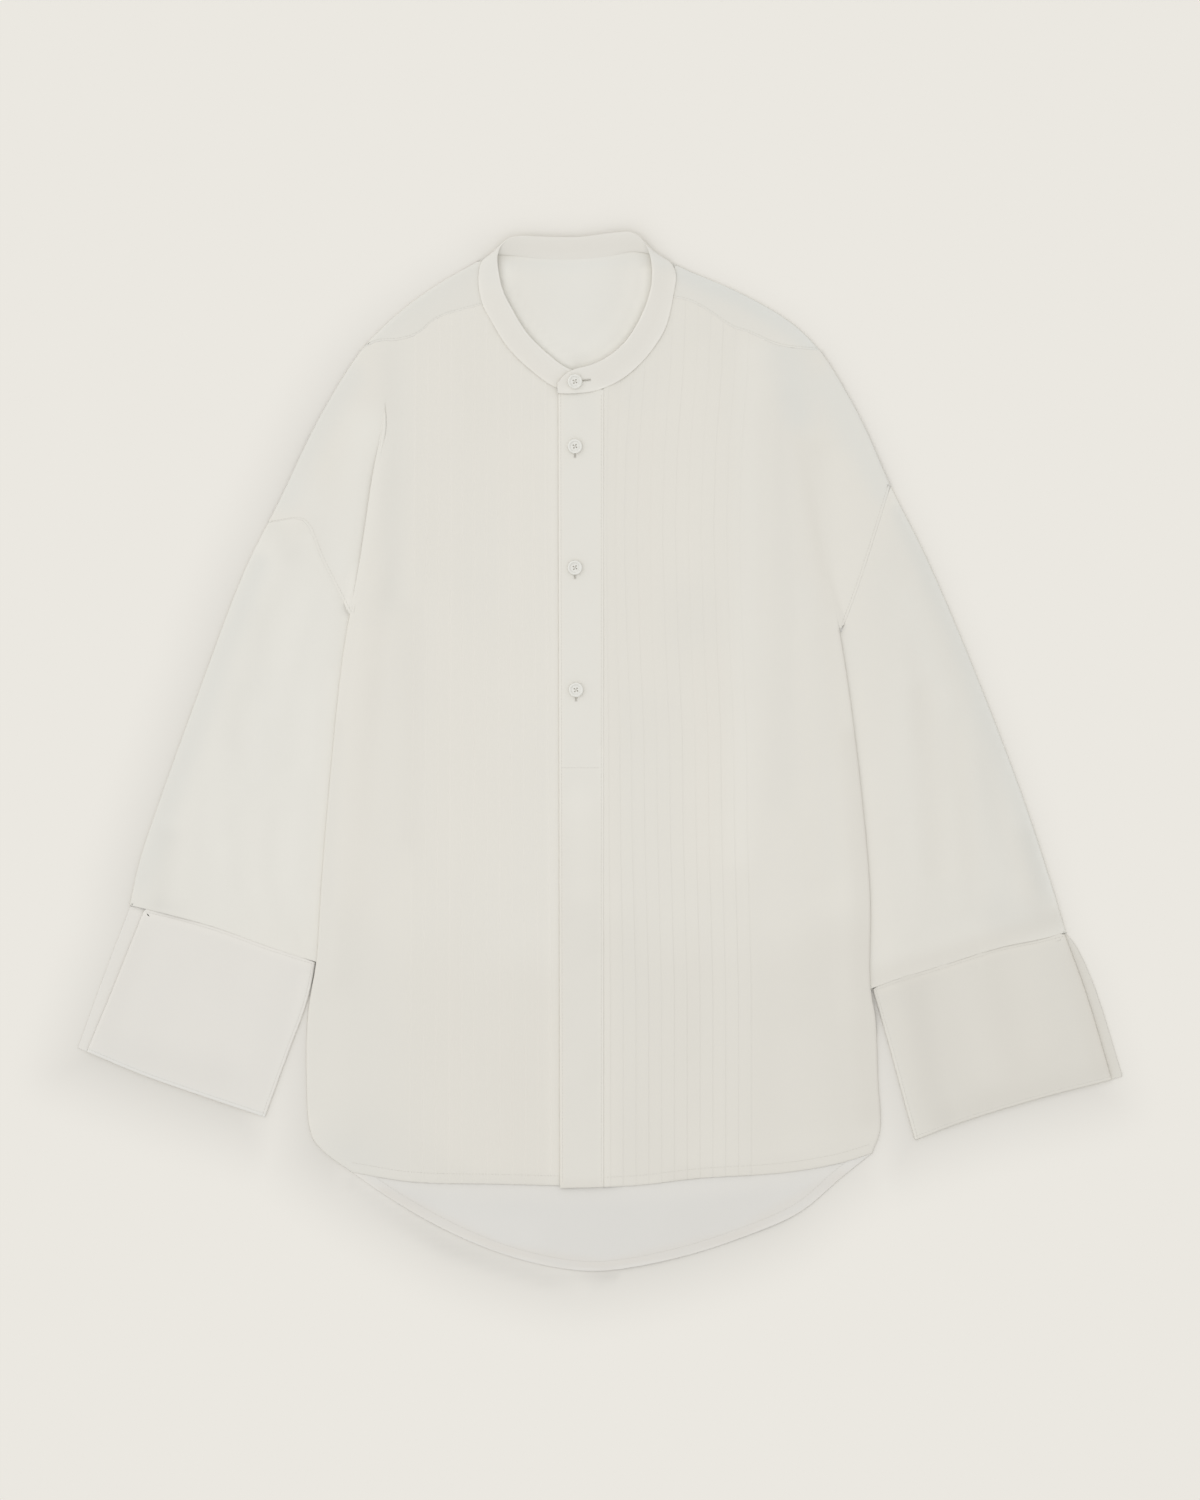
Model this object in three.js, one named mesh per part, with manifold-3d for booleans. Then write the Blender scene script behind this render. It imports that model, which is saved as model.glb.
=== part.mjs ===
// Collarless tuxedo shirt with a pintucked front, laid flat on its back with the sleeves beside the body.
// Millimetres, +Z up. X runs across the shirt, +Y towards the neck, and Z = 0 is the surface it lies on.
// Right and left are the wearer's, so the right half of the shirt is at negative X.

import * as THREE from 'three';
import { mergeVertices } from 'three/addons/utils/BufferGeometryUtils.js';
import Module from 'manifold-3d';

const wasm = await Module();
wasm.setup();

const { lerp, smoothstep } = THREE.MathUtils;

// Cloth walls and the clearances between them
const CLOTH = 1.0; // one layer
const DOUBLED = 1.2; // two layers sewn as one: placket and cuffs
const BAND_CLOTH = 1.4; // collar band, two layers and a lining
const GAP = 0.3; // between neighbours at a seam, and between layers that touch
const FOLD_HEIGHT = 2 * CLOTH + GAP; // flattened fold of the cloth
const SLEEVE_LIFT = FOLD_HEIGHT + GAP; // how far the side seam climbs over the sleeve
const SHORTEST = 0.2; // side of an outline
const PRISM_BOTTOM = -4;
const PRISM_TOP = 40;

// Relief of the laid cloth
const FOLD_STEP = 6; // width of the climb from the shoulder flap on to the body
const SHOULDER_RISE = 1.0; // air under the front near the collar
const SHOULDER_REACH = 40;
const CHEST = { from: 140, to: 300 }; // the shoulder's air grows over these heights
const SLEEVE_BULGE = 2.7; // air in the middle of a sleeve
const CUFF_BULGE = 0.9;
const BULGE_REACH = 35; // from a fold to the full bulge
const SLEEVE_FILL = { from: 10, to: 80 }; // above the cuff the sleeve fills with air over these heights
const SLEEVE_TUCKED = 10; // inner edge of the sleeve under the side of the body
const SIDE_LIFT = { out: -2, flat: 12, to: 36 }; // the side lies raised on the sleeve this far in
const SHOULDER_FADE = 50; // above the underarm the side's roll turns into the shoulder's over this height
const FOLD_FADE = 70; // the fold beside the shoulder flap dies out upwards over this height
const HEM_CALM = { from: -345, to: -280 }; // the side roll dies out towards the hem

// Pintucks
const TUCKS = 12;
const TUCK_DEPTH = 0.8;
const TUCK_FOOT = 0.6; // width of the step at a fold edge
const TUCK_INNER_SLOPE = 4.0; // of the tuck beside the placket

// Placket and buttons
const PLACKET = {
  left: -33.4, right: 3.0, top: 284.6, bottom: -349.2, lean: 1.4, slant: 1,
  over: 2, // the relief reaches past its edges
};
const PLACKET_RAMP = 16; // the left front climbs to the placket over this width
const BUTTON = {
  radius: 5.8, foot: 4.6, rim: 1.2, thick: 2.4, dish: 0.7, sides: 24,
  holeRadius: 0.7, holeSpread: 2.2, holeSides: 8,
};
const FLY_BUTTON = { radius: 5.0, thick: 1.5, sides: 14 };
const FLY_SWELL = { height: 2.0, flat: 6, reach: 17 };

// Heights (y) of the rows in which the cloth's relief is worked out
const ROWS = [
  -430, -375, -340, -310, -275, -235, -205, -175, -145, -100, -50, 0, 50, 95, 125, 160, 190, 220,
];
const UPPER_ROWS = [250, 280, 305, 330, 355, 380, 405, 430];
const SLEEVE_ROWS = [-212, -190, -170, -150, -125, -95, -65, -35, -5, 25, 55, 85, 112, 140, 165, 190, 216];
const CUFF_ROWS = [-330, -295, -260, -225, -190, -160, -130, -105];
const YOKE_ROWS = Array.from({ length: 12 }, (_, i) => 290 + 12 * i);
const PLACKET_ROWS = [-353, -95, 10, 100, 160, 200, 240, 290];

// Columns: distances out from the body's edge, shares of the way from an edge to the tucks or across a piece
const OUTER_COLUMNS = [104, 74, 48, 25, 8, 2];
const INNER_SHARES = [0, 0.1, 0.2, 0.36, 0.58, 0.8, 1];
const CENTRE_COLUMNS = [-92, -34.8, -10, 3.2, 20, 66];
const RIGHT_CENTRE_COLUMNS = [0, 40];
const LEFT_CENTRE_COLUMNS = [-40, 3.2];
const YOKE_COLUMNS = Array.from({ length: 28 }, (_, i) => -212 + 15.5 * i);
const SLEEVE_SHARES = [0, 0.03, 0.08, 0.16, 0.26, 0.38, 0.5, 0.62, 0.74, 0.85, 0.94, 1];
const CUFF_SHARES = [-0.1, 0.35, 0.7, 0.8, 0.9, 0.96, 1, 1.15];
const SIDE_SPLIT = -20; // a side's outline is put together from two stretches that meet here

// Rolls along the side: distance in from the body's edge, and height beside the sleeve and along the shoulder
const ROLL = [
  { inside: 0, side: 0, fold: 2.2 },
  { inside: 6, side: 1.0, fold: 2.7 },
  { inside: 12, side: 1.6, fold: 2.5 },
  { inside: 22, side: 1.4, fold: 1.8 },
  { inside: 34, side: 0.9, fold: 1.0 },
  { inside: 60, side: 0.3, fold: 0.3 },
  { inside: 90, side: 0, fold: 0 },
];

// Largest soft folds: a ridge where rise is positive and a trough where it is negative
const CREASES = [
  { x: -240, y: 178, toX: -281, toY: 112, rise: 0.8, reach: 10 },
  { x: -281, y: 112, toX: -313, toY: 20, rise: 0.9, reach: 12 },
  { x: -313, y: 20, toX: -336, toY: -118, rise: 0.7, reach: 13 },
  { x: -262, y: 105, toX: -268, toY: 40, rise: -0.8, reach: 11 },
  { x: -281, y: 44, toX: -282, toY: -12, rise: -0.7, reach: 9 },
  { x: -240, y: 41, toX: -243, toY: -10, rise: -0.7, reach: 10 },
  { x: -286, y: -55, toX: -283, toY: -106, rise: -0.7, reach: 10 },
  { x: -254, y: -52, toX: -258, toY: -98, rise: -0.6, reach: 9 },
  { x: 250, y: 124, toX: 282, toY: 38, rise: 0.8, reach: 11 },
  { x: 259, y: 44, toX: 269, toY: -92, rise: -0.9, reach: 12 },
  { x: 318, y: -12, toX: 334, toY: -96, rise: -0.6, reach: 11 },
  { x: 113, y: 290, toX: 114, toY: 60, rise: 0.7, reach: 13 },
  { x: 140, y: 268, toX: 146, toY: 40, rise: -0.7, reach: 12 },
  { x: 164, y: 88, toX: 184, toY: -90, rise: 0.6, reach: 13 },
];

// Each half of the shirt. A table runs downwards or from the collar outwards, and a row is a point of its line.
const RIGHT = {
  out: -1,
  contour: [ // shoulder and outer fold of the sleeve
    { x: -77.6, y: 406.8 },
    { x: -96, y: 393.2 },
    { x: -128, y: 374.8 },
    { x: -160, y: 351.6 },
    { x: -190.4, y: 321.2 },
    { x: -224, y: 267.6 },
    { x: -256, y: 201.2 },
    { x: -284, y: 145.2 },
    { x: -323.2, y: 41.2 },
    { x: -352, y: -38.8 },
    { x: -368, y: -86.8 },
    { x: -376, y: -122.8 },
  ],
  edge: [ // fold beside the shoulder flap, then the side seam
    { x: -160, y: 440 },
    { x: -171.2, y: 281.2 },
    { x: -182.4, y: 217.2 },
    { x: -192, y: 153.2 },
    { x: -205.6, y: 77.2 },
    { x: -216.8, y: -30.8 },
    { x: -223.2, y: -110.8 },
    { x: -227.2, y: -170.8 },
    { x: -233.6, y: -206.8 },
    { x: -235, y: -260 },
    { x: -231, y: -306.8 },
    { x: -221, y: -320 },
    { x: -198.4, y: -336.4 },
  ],
  armhole: [
    { x: -265.6, y: 182.8 },
    { x: -237.6, y: 184.4 },
    { x: -222.4, y: 153.2 },
    { x: -200, y: 109.2 },
  ],
  yokeSeam: [ // from the contour to the collar
    { x: -190.4, y: 321.2 },
    { x: -179.2, y: 327.2 },
    { x: -160, y: 328.8 },
    { x: -145.6, y: 333.6 },
    { x: -130.4, y: 345.8 },
    { x: -92, y: 357.4 },
  ],
  neck: [ // collar seam, from the yoke seam to the centre front
    { x: -92, y: 357.4 },
    { x: -84.5, y: 343 },
    { x: -72.6, y: 324.6 },
    { x: -50.6, y: 303.4 },
    { x: -33, y: 291.6 },
    { x: -18, y: 289.4 },
    { x: 0, y: 289.4 },
  ],
  neckSide: [ // collar seam, from the yoke seam up to the contour
    { x: -92, y: 357.4 },
    { x: -95, y: 371 },
    { x: -95.4, y: 384 },
    { x: -94.6, y: 391.8 },
  ],
  tucks: [ // fold edge of the tuck beside the placket, and the pitch of the twelve
    { y: 320, first: -43.6, pitch: 9.4, drift: 0 },
    { y: 189, first: -43.2, pitch: 9.5, drift: 0 },
    { y: -247, first: -39.2, pitch: 10.2, drift: 0 },
  ],
  cuffSeam: [
    { x: -376.4, y: -122.8 },
    { x: -348, y: -129.4 },
    { x: -308, y: -140.4 },
    { x: -264, y: -156.4 },
    { x: -216, y: -171.6 },
  ],
  cuffInner: [
    { x: -228.4, y: -168.6 },
    { x: -238, y: -208.4 },
    { x: -247, y: -234.8 },
    { x: -268, y: -292.4 },
  ],
  cuffHem: [
    { x: -268, y: -292.4 },
    { x: -320, y: -274.8 },
    { x: -366, y: -258.6 },
    { x: -410.4, y: -240 },
  ],
  cuffOuter: [
    { x: -410.4, y: -240 },
    { x: -388.6, y: -187 },
    { x: -364.8, y: -127.2 },
  ],
  cuffUnderOuter: [
    { x: -417.6, y: -237 },
    { x: -397, y: -180 },
    { x: -375.6, y: -123.6 },
  ],
  yokeEnd: 321.2,
  armholeTop: 182.8,
  foldTop: 281,
  underarm: 109,
  cuffCorner: -168,
  lift: { none: 160, full: 125, fullTo: -175, noneTo: -205 },
};

const LEFT = {
  out: 1,
  contour: [
    { x: 29, y: 413 },
    { x: 44, y: 399.6 },
    { x: 62, y: 388.6 },
    { x: 112, y: 366.8 },
    { x: 152, y: 343.6 },
    { x: 176, y: 320.4 },
    { x: 196, y: 289.2 },
    { x: 212.8, y: 257.2 },
    { x: 232, y: 213.2 },
    { x: 260, y: 157.2 },
    { x: 296, y: 73.2 },
    { x: 336, y: -30.8 },
    { x: 360, y: -102.8 },
    { x: 372.4, y: -144.4 },
  ],
  edge: [
    { x: 150, y: 440 },
    { x: 157.6, y: 257.2 },
    { x: 172, y: 177.2 },
    { x: 188, y: 113.2 },
    { x: 200, y: 41.2 },
    { x: 212, y: -62.8 },
    { x: 216, y: -118.8 },
    { x: 216, y: -186.8 },
    { x: 220.4, y: -215 },
    { x: 222.4, y: -262.8 },
    { x: 224, y: -302.8 },
    { x: 217.6, y: -321.2 },
  ],
  armhole: [
    { x: 232, y: 211.8 },
    { x: 220, y: 173.2 },
    { x: 205.6, y: 129.2 },
    { x: 193, y: 95.6 },
  ],
  yokeSeam: [
    { x: 176, y: 320.4 },
    { x: 142.4, y: 324.6 },
    { x: 120, y: 334.2 },
    { x: 106.4, y: 338.6 },
    { x: 88, y: 350.8 },
    { x: 72, y: 359.6 },
    { x: 56, y: 363 },
  ],
  neck: [
    { x: 56, y: 363 },
    { x: 54.4, y: 352 },
    { x: 49.6, y: 338.4 },
    { x: 33.8, y: 314.8 },
    { x: 18.4, y: 300.6 },
    { x: 3.3, y: 290.8 },
  ],
  neckSide: [
    { x: 56, y: 363 },
    { x: 57.8, y: 372 },
    { x: 59.2, y: 381 },
    { x: 59.4, y: 388.8 },
  ],
  tucks: [
    { y: 350, first: 8, pitch: 10.24, drift: -1.6 },
    { y: 305, first: 8, pitch: 10.24, drift: -3.2 },
    { y: 241, first: 8, pitch: 10.24, drift: -8.0 },
    { y: 177, first: 8, pitch: 10.24, drift: -9.6 },
    { y: 89, first: 8, pitch: 10.24, drift: -7.2 },
    { y: 17, first: 8, pitch: 10.24, drift: -4.0 },
    { y: -63, first: 8, pitch: 10.24, drift: -3.2 },
    { y: -191, first: 8, pitch: 10.24, drift: 0 },
  ],
  cuffSeam: [
    { x: 372.8, y: -144.6 },
    { x: 352, y: -150 },
    { x: 320, y: -156.6 },
    { x: 272, y: -171.6 },
    { x: 240, y: -181.2 },
    { x: 206, y: -193.6 },
  ],
  cuffInner: [
    { x: 218, y: -190.2 },
    { x: 231, y: -234.8 },
    { x: 244, y: -282.8 },
    { x: 252, y: -310.8 },
  ],
  cuffHem: [
    { x: 252, y: -310.8 },
    { x: 288, y: -296.8 },
    { x: 352, y: -277.2 },
    { x: 409.2, y: -262.4 },
  ],
  cuffOuter: [
    { x: 409.2, y: -262.4 },
    { x: 388.6, y: -193 },
    { x: 371.4, y: -146 },
  ],
  cuffUnderOuter: [
    { x: 417.6, y: -259.6 },
    { x: 396, y: -190 },
    { x: 380.8, y: -156 },
    { x: 372.4, y: -145.4 },
  ],
  yokeEnd: 320.4,
  armholeTop: 211.8,
  foldTop: 257,
  underarm: 95.6,
  cuffCorner: -190,
  lift: { none: 160, full: 95, fullTo: -205, noneTo: -235 },
};

// Lower edges, from the right side to the left side
const FRONT_HEM_RIGHT = [
  { x: -198.4, y: -336.4 },
  { x: -152, y: -344 },
  { x: -80, y: -346 },
  { x: 0, y: -348 },
];
const FRONT_HEM_LEFT = [
  { x: 3.3, y: -348.4 },
  { x: 32, y: -346.8 },
  { x: 80, y: -341.2 },
  { x: 144, y: -337.2 },
  { x: 190, y: -329.6 },
  { x: 217.6, y: -321.2 },
];
const TAIL = [
  { x: -198.4, y: -336.4 },
  { x: -172, y: -354.8 },
  { x: -128, y: -380.4 },
  { x: -80, y: -401.2 },
  { x: -32, y: -413.2 },
  { x: 4, y: -415.2 },
  { x: 64, y: -404.4 },
  { x: 112, y: -389.2 },
  { x: 160, y: -368.4 },
  { x: 192, y: -341.6 },
  { x: 217.6, y: -321.2 },
];
const TAIL_HEM = { width: 8, height: 0.7, from: -184, to: 206, taper: 26, inset: 0.985 };

// Back of the yoke: its seam with the back panel, and its neck edge, which lies under the foot of the band
const BACK_YOKE_SEAM = 293;
const BACK_NECK = [
  { x: -96.6, y: 392.2 },
  { x: -88, y: 397.4 },
  { x: -78, y: 399.2 },
  { x: -40, y: 395 },
  { x: -20, y: 394.2 },
  { x: 4, y: 397 },
  { x: 28, y: 402 },
  { x: 42, y: 399 },
  { x: 61, y: 388.8 },
];

// Collar band. A row is one section: its foot on the neck seam and its top edge.
const BAND_SECTIONS = [
  { x: 0, y: 288.4, z: 4.4, topX: 4, topY: 301, topZ: 5.6 },
  { x: -16, y: 288.4, z: 4.4, topX: -11, topY: 302.5, topZ: 5.8 },
  { x: -34, y: 290.2, z: 4.5, topX: -25, topY: 305.6, topZ: 6.4 },
  { x: -52, y: 301.8, z: 5.3, topX: -42, topY: 317.8, topZ: 7.6 },
  { x: -73.6, y: 322.6, z: 5.3, topX: -58.6, topY: 334.6, topZ: 8.8 },
  { x: -87, y: 344, z: 5.2, topX: -70, topY: 353, topZ: 10.0 },
  { x: -94.4, y: 358.6, z: 4.6, topX: -77.4, topY: 368, topZ: 10.8 },
  { x: -97.2, y: 379, z: 4.4, topX: -80.8, topY: 382, topZ: 11.2 },
  { x: -94, y: 392.2, z: 3.8, topX: -81.6, topY: 396, topZ: 11.0 },
  { x: -85, y: 396.6, z: 2.7, topX: -77, topY: 406.8, topZ: 10.0 },
  { x: -72, y: 396.4, z: 2.1, topX: -68, topY: 411.2, topZ: 8.6 },
  { x: -40, y: 392.6, z: 2.1, topX: -40, topY: 411, topZ: 7.4 },
  { x: -16, y: 392, z: 2.1, topX: -16, topY: 411, topZ: 7.4 },
  { x: 8, y: 395.4, z: 2.1, topX: 10, topY: 414.2, topZ: 7.8 },
  { x: 26, y: 399.4, z: 2.2, topX: 26, topY: 414.4, topZ: 9.0 },
  { x: 42, y: 397, z: 2.9, topX: 34.5, topY: 408, topZ: 10.2 },
  { x: 56, y: 391, z: 3.6, topX: 39.6, topY: 396.5, topZ: 11.0 },
  { x: 60.6, y: 382, z: 4.2, topX: 41.6, topY: 383, topZ: 11.2 },
  { x: 58.6, y: 364, z: 4.6, topX: 39.6, topY: 366, topZ: 10.8 },
  { x: 52, y: 337.6, z: 5.4, topX: 32, topY: 346, topZ: 10.2 },
  { x: 36, y: 313.8, z: 5.6, topX: 20, topY: 327, topZ: 9.6 },
  { x: 18, y: 297.8, z: 6.4, topX: 5, topY: 314.4, topZ: 9.3 },
  { x: -2, y: 288.4, z: 6.9, topX: -8, topY: 308.4, topZ: 9.2 },
  { x: -18, y: 286, z: 7.0, topX: -19, topY: 305.4, topZ: 9.2 },
  { x: -28, y: 285.6, z: 7.0, topX: -27, topY: 301.6, topZ: 9.0 },
  { x: -34, y: 286, z: 7.0, topX: -34, topY: 294, topZ: 8.2 },
];
const BAND_PIECES = 72;

// Shirt buttons that show, and the ones covered by the fly
const BUTTONS = [
  { name: 'button_collar', x: -20, y: 295.2 },
  { name: 'button_chest', x: -20, y: 243.6 },
  { name: 'button_middle', x: -20, y: 146.8 },
  { name: 'button_lower', x: -19.2, y: 49.2 },
];
const FLY_BUTTONS = [
  { name: 'fly_button_1', x: -12, y: -45.2 },
  { name: 'fly_button_2', x: -12.6, y: -149.2 },
  { name: 'fly_button_3', x: -12.6, y: -250.8 },
];
const COLLAR_BUTTON_TILT = 0.115; // the band slopes up to its top edge
const COLLAR_BUTTON_HEIGHT = 9.2;

const MATERIALS = {
  cloth: new THREE.MeshStandardMaterial({ color: 0xe1e0d6, roughness: 0.9, metalness: 0 }),
  button: new THREE.MeshStandardMaterial({ color: 0xdedcd2, roughness: 0.35, metalness: 0 }),
};

// A closed three.js geometry as a solid that can be joined and cut
function solidOf(geometry) {
  const bare = geometry.clone();
  bare.deleteAttribute('normal');
  bare.deleteAttribute('uv');
  const merged = mergeVertices(bare, 1e-5);
  return new wasm.Manifold(new wasm.Mesh({
    numProp: 3,
    vertProperties: new Float32Array(merged.attributes.position.array),
    triVerts: new Uint32Array(merged.index.array),
  }));
}

function meshOf(name, solid, material) {
  const { numProp, vertProperties, triVerts } = solid.getMesh();
  const positions = new Float32Array((vertProperties.length / numProp) * 3);
  for (let i = 0; i < positions.length / 3; i += 1) {
    positions.set(vertProperties.subarray(i * numProp, i * numProp + 3), i * 3);
  }
  const geometry = new THREE.BufferGeometry();
  geometry.setAttribute('position', new THREE.BufferAttribute(positions, 3));
  geometry.setIndex(new THREE.BufferAttribute(new Uint32Array(triVerts), 1));
  geometry.computeVertexNormals();
  const mesh = new THREE.Mesh(geometry, material);
  mesh.name = name;
  return mesh;
}

// A smooth line through the rows of a table
function lineThrough(rows, piecesPerRow = 4) {
  const curve = new THREE.CatmullRomCurve3(
    rows.map(({ x, y }) => new THREE.Vector3(x, y, 0)), false, 'centripetal',
  );
  return curve.getPoints(piecesPerRow * (rows.length - 1)).map(({ x, y }) => ({ x, y }));
}

// x of a line at a height, carried on straight past its ends
function xAt(line, y) {
  let i = line.findIndex((point) => point.y < y);
  if (i < 0) i = line.length - 1;
  i = Math.max(i, 1);
  const { x: x0, y: y0 } = line[i - 1];
  const { x: x1, y: y1 } = line[i];
  return lerp(x0, x1, (y - y0) / (y1 - y0));
}

// The stretch of a line between two heights
function stretch(line, upperY, lowerY) {
  const inner = line.filter(({ y }) => y < upperY - 0.5 && y > lowerY + 0.5);
  return [{ x: xAt(line, upperY), y: upperY }, ...inner, { x: xAt(line, lowerY), y: lowerY }];
}

function distanceTo(line, x, y) {
  let nearest = Infinity;
  for (let i = 1; i < line.length; i += 1) {
    const a = line[i - 1];
    const b = line[i];
    const span = (b.x - a.x) ** 2 + (b.y - a.y) ** 2;
    const along = THREE.MathUtils.clamp(((x - a.x) * (b.x - a.x) + (y - a.y) * (b.y - a.y)) / span, 0, 1);
    nearest = Math.min(nearest, Math.hypot(x - lerp(a.x, b.x, along), y - lerp(a.y, b.y, along)));
  }
  return nearest;
}

// Value of a column of a table whose key column rises or falls
function lookUp(table, key, at, column) {
  const rising = table[table.length - 1][key] > table[0][key];
  const rows = rising ? table : [...table].reverse();
  if (at <= rows[0][key]) return rows[0][column];
  const i = rows.findIndex((row) => row[key] >= at);
  if (i < 0) return rows[rows.length - 1][column];
  const share = (at - rows[i - 1][key]) / (rows[i][key] - rows[i - 1][key]);
  return lerp(rows[i - 1][column], rows[i][column], share);
}

const shifted = (line, dx, dy) => line.map(({ x, y }) => ({ x: x + dx, y: y + dy }));
const reversed = (line) => [...line].reverse();
const bulge = (distance, reach) => 1 - (1 - Math.min(distance, reach) / reach) ** 2;

for (const side of [RIGHT, LEFT]) {
  for (const name of ['contour', 'edge', 'armhole', 'yokeSeam', 'neck', 'neckSide', 'cuffSeam', 'cuffInner',
    'cuffHem', 'cuffOuter', 'cuffUnderOuter']) {
    side[name] = lineThrough(side[name]);
  }
}

const sideAt = (x) => (x < 0 ? RIGHT : LEFT);

// Distance in from the body's edge, negative on the shoulder flap and the sleeve
const insideBody = (side, x, y) => side.out * (xAt(side.edge, y) - x);

// Top of the back panel: flat on the surface, and lifted along the sides by the sleeves tucked under them
function backTop(x, y) {
  const side = sideAt(x);
  const inside = insideBody(side, x, y);
  const across = smoothstep(inside, SIDE_LIFT.out - FOLD_STEP, SIDE_LIFT.out)
    * (1 - smoothstep(inside, SIDE_LIFT.flat, SIDE_LIFT.to));
  const { none, full, fullTo, noneTo } = side.lift;
  const along = (1 - smoothstep(y, full, none)) * smoothstep(y, noneTo, fullTo);
  return CLOTH + SLEEVE_LIFT * across * along;
}

function creaseHeight(x, y) {
  let height = 0;
  for (const { x: fromX, y: fromY, toX, toY, rise, reach } of CREASES) {
    const distance = distanceTo([{ x: fromX, y: fromY }, { x: toX, y: toY }], x, y);
    height += rise * (1 - smoothstep(distance, 0, 2 * reach));
  }
  return height;
}

// Top of a flattened tube between the outer fold and the body's edge
function tubeTop(side, x, y) {
  const { from, to } = SLEEVE_FILL;
  const full = lerp(CUFF_BULGE, SLEEVE_BULGE, smoothstep(y, side.cuffCorner + from, side.cuffCorner + to));
  const fromFold = Math.min(distanceTo(side.contour, x, y), Math.max(-insideBody(side, x, y), 0));
  return FOLD_HEIGHT + full * bulge(fromFold, BULGE_REACH);
}

// Top of the upper layer: both fronts, the front of the yoke and the sleeves, without the tucks
function upperTop(x, y) {
  const side = sideAt(x);
  const inside = insideBody(side, x, y);
  const fromContour = distanceTo(side.contour, x, y);
  const lowest = backTop(x, y) + GAP + CLOTH;
  const foldShare = 1 - smoothstep(y, side.foldTop - FOLD_FADE, side.foldTop);
  const shoulderShare = smoothstep(y, side.underarm, side.underarm + SHOULDER_FADE);
  const rollShare = foldShare * smoothstep(y, HEM_CALM.from, HEM_CALM.to);
  const roll = lerp(
    lookUp(ROLL, 'inside', inside, 'side'), lookUp(ROLL, 'inside', inside, 'fold'), shoulderShare,
  );
  const air = SHOULDER_RISE * smoothstep(y, CHEST.from, CHEST.to) * bulge(fromContour, SHOULDER_REACH);
  const body = lowest + air + roll * rollShare;
  const outer = tubeTop(side, x, y);
  const onBody = smoothstep(inside, -FOLD_STEP, 0);
  const height = lerp(body, lerp(Math.max(outer, lowest), body, onBody), foldShare);
  return Math.max(lowest, height + creaseHeight(x, y));
}

// Fold edges of the tucks of one front, from the placket outwards
function tuckEdges(side, y) {
  const first = lookUp(side.tucks, 'y', y, 'first');
  const pitch = lookUp(side.tucks, 'y', y, 'pitch');
  const drift = lookUp(side.tucks, 'y', y, 'drift');
  return Array.from({ length: TUCKS }, (_, k) => (
    side === RIGHT ? first - pitch * k : first + pitch * k + drift * Math.min(1, (k + 1) / 3)
  ));
}

// Height of the tucks, 1 at a fold edge. Folds face outwards, and the cloth slopes in to the next tuck.
function tuckRelief(side, x, y) {
  const ahead = tuckEdges(side, y).map((edge) => side.out * (edge - x));
  const next = ahead.findIndex((distance) => distance >= 0);
  const last = next < 0 ? TUCKS - 1 : next - 1;
  const past = last < 0 ? Infinity : -ahead[last];
  const step = 1 - Math.min(past / TUCK_FOOT, 1);
  if (next < 0) return step;
  const slope = next === 0 ? TUCK_INNER_SLOPE : ahead[next] - ahead[next - 1] - TUCK_FOOT;
  return Math.max(step, 1 - Math.min(ahead[next] / slope, 1), 0);
}

// Columns in which the relief of one half is worked out, at one height
function halfColumns(side, y) {
  const edge = xAt(side.edge, y);
  const outermost = tuckEdges(side, y)[TUCKS - 1] + side.out * TUCK_FOOT;
  const outside = OUTER_COLUMNS.map((away) => edge + side.out * away);
  const inside = INNER_SHARES.map((share) => lerp(edge, outermost, share));
  return [...outside, ...inside];
}

const ascending = (values) => values.sort((a, b) => a - b);

// A block under a relief: a box whose upper face is moved on to the heights, over columns along the cloth
function reliefBlock({ rows, columnsAt, heightAt, floor = PRISM_BOTTOM - 1 }) {
  const columns = rows.map((y) => ascending(columnsAt(y)));
  const across = columns[0].length - 1;
  const block = new THREE.BoxGeometry(1, 1, 1, across, rows.length - 1, 1);
  const position = block.attributes.position;
  for (let i = 0; i < position.count; i += 1) {
    const row = Math.round((position.getY(i) + 0.5) * (rows.length - 1));
    const x = columns[row][Math.round((position.getX(i) + 0.5) * across)];
    position.setXYZ(i, x, rows[row], position.getZ(i) > 0 ? heightAt(x, rows[row]) : floor);
  }
  return solidOf(block);
}

// An upright block inside an outline
function prism(outline, bottom = PRISM_BOTTOM, top = PRISM_TOP) {
  const distinct = outline.filter((point, i) => {
    const before = outline[(i || outline.length) - 1];
    return Math.hypot(point.x - before.x, point.y - before.y) > SHORTEST;
  });
  const shape = new THREE.Shape(distinct.map(({ x, y }) => new THREE.Vector2(x, y)));
  const block = new THREE.ExtrudeGeometry(shape, { depth: top - bottom, bevelEnabled: false });
  return solidOf(block.translate(0, 0, bottom));
}

// A wall of cloth between two reliefs inside an outline
const clothWall = (outline, upper, lower) => prism(outline).intersect(upper).subtract(lower);

// Rows and columns of the body
const bodyRows = [...ROWS, ...UPPER_ROWS];
const bodyColumns = (y) => [...halfColumns(RIGHT, y), ...CENTRE_COLUMNS, ...halfColumns(LEFT, y)];

const backUpper = reliefBlock({ rows: bodyRows, columnsAt: bodyColumns, heightAt: backTop });
const backLower = reliefBlock({
  rows: bodyRows, columnsAt: bodyColumns, heightAt: (x, y) => backTop(x, y) - CLOTH,
});

// Side of the body, from the armhole down to the hem
const sideSeam = (side) => stretch(side.edge, side.armhole.at(-1).y, SIDE_SPLIT);
const lowerSide = (side) => side.edge.filter(({ y }) => y < SIDE_SPLIT - SHORTEST);
const flap = (side, upperY) => stretch(side.contour, upperY, side.armholeTop);

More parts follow.
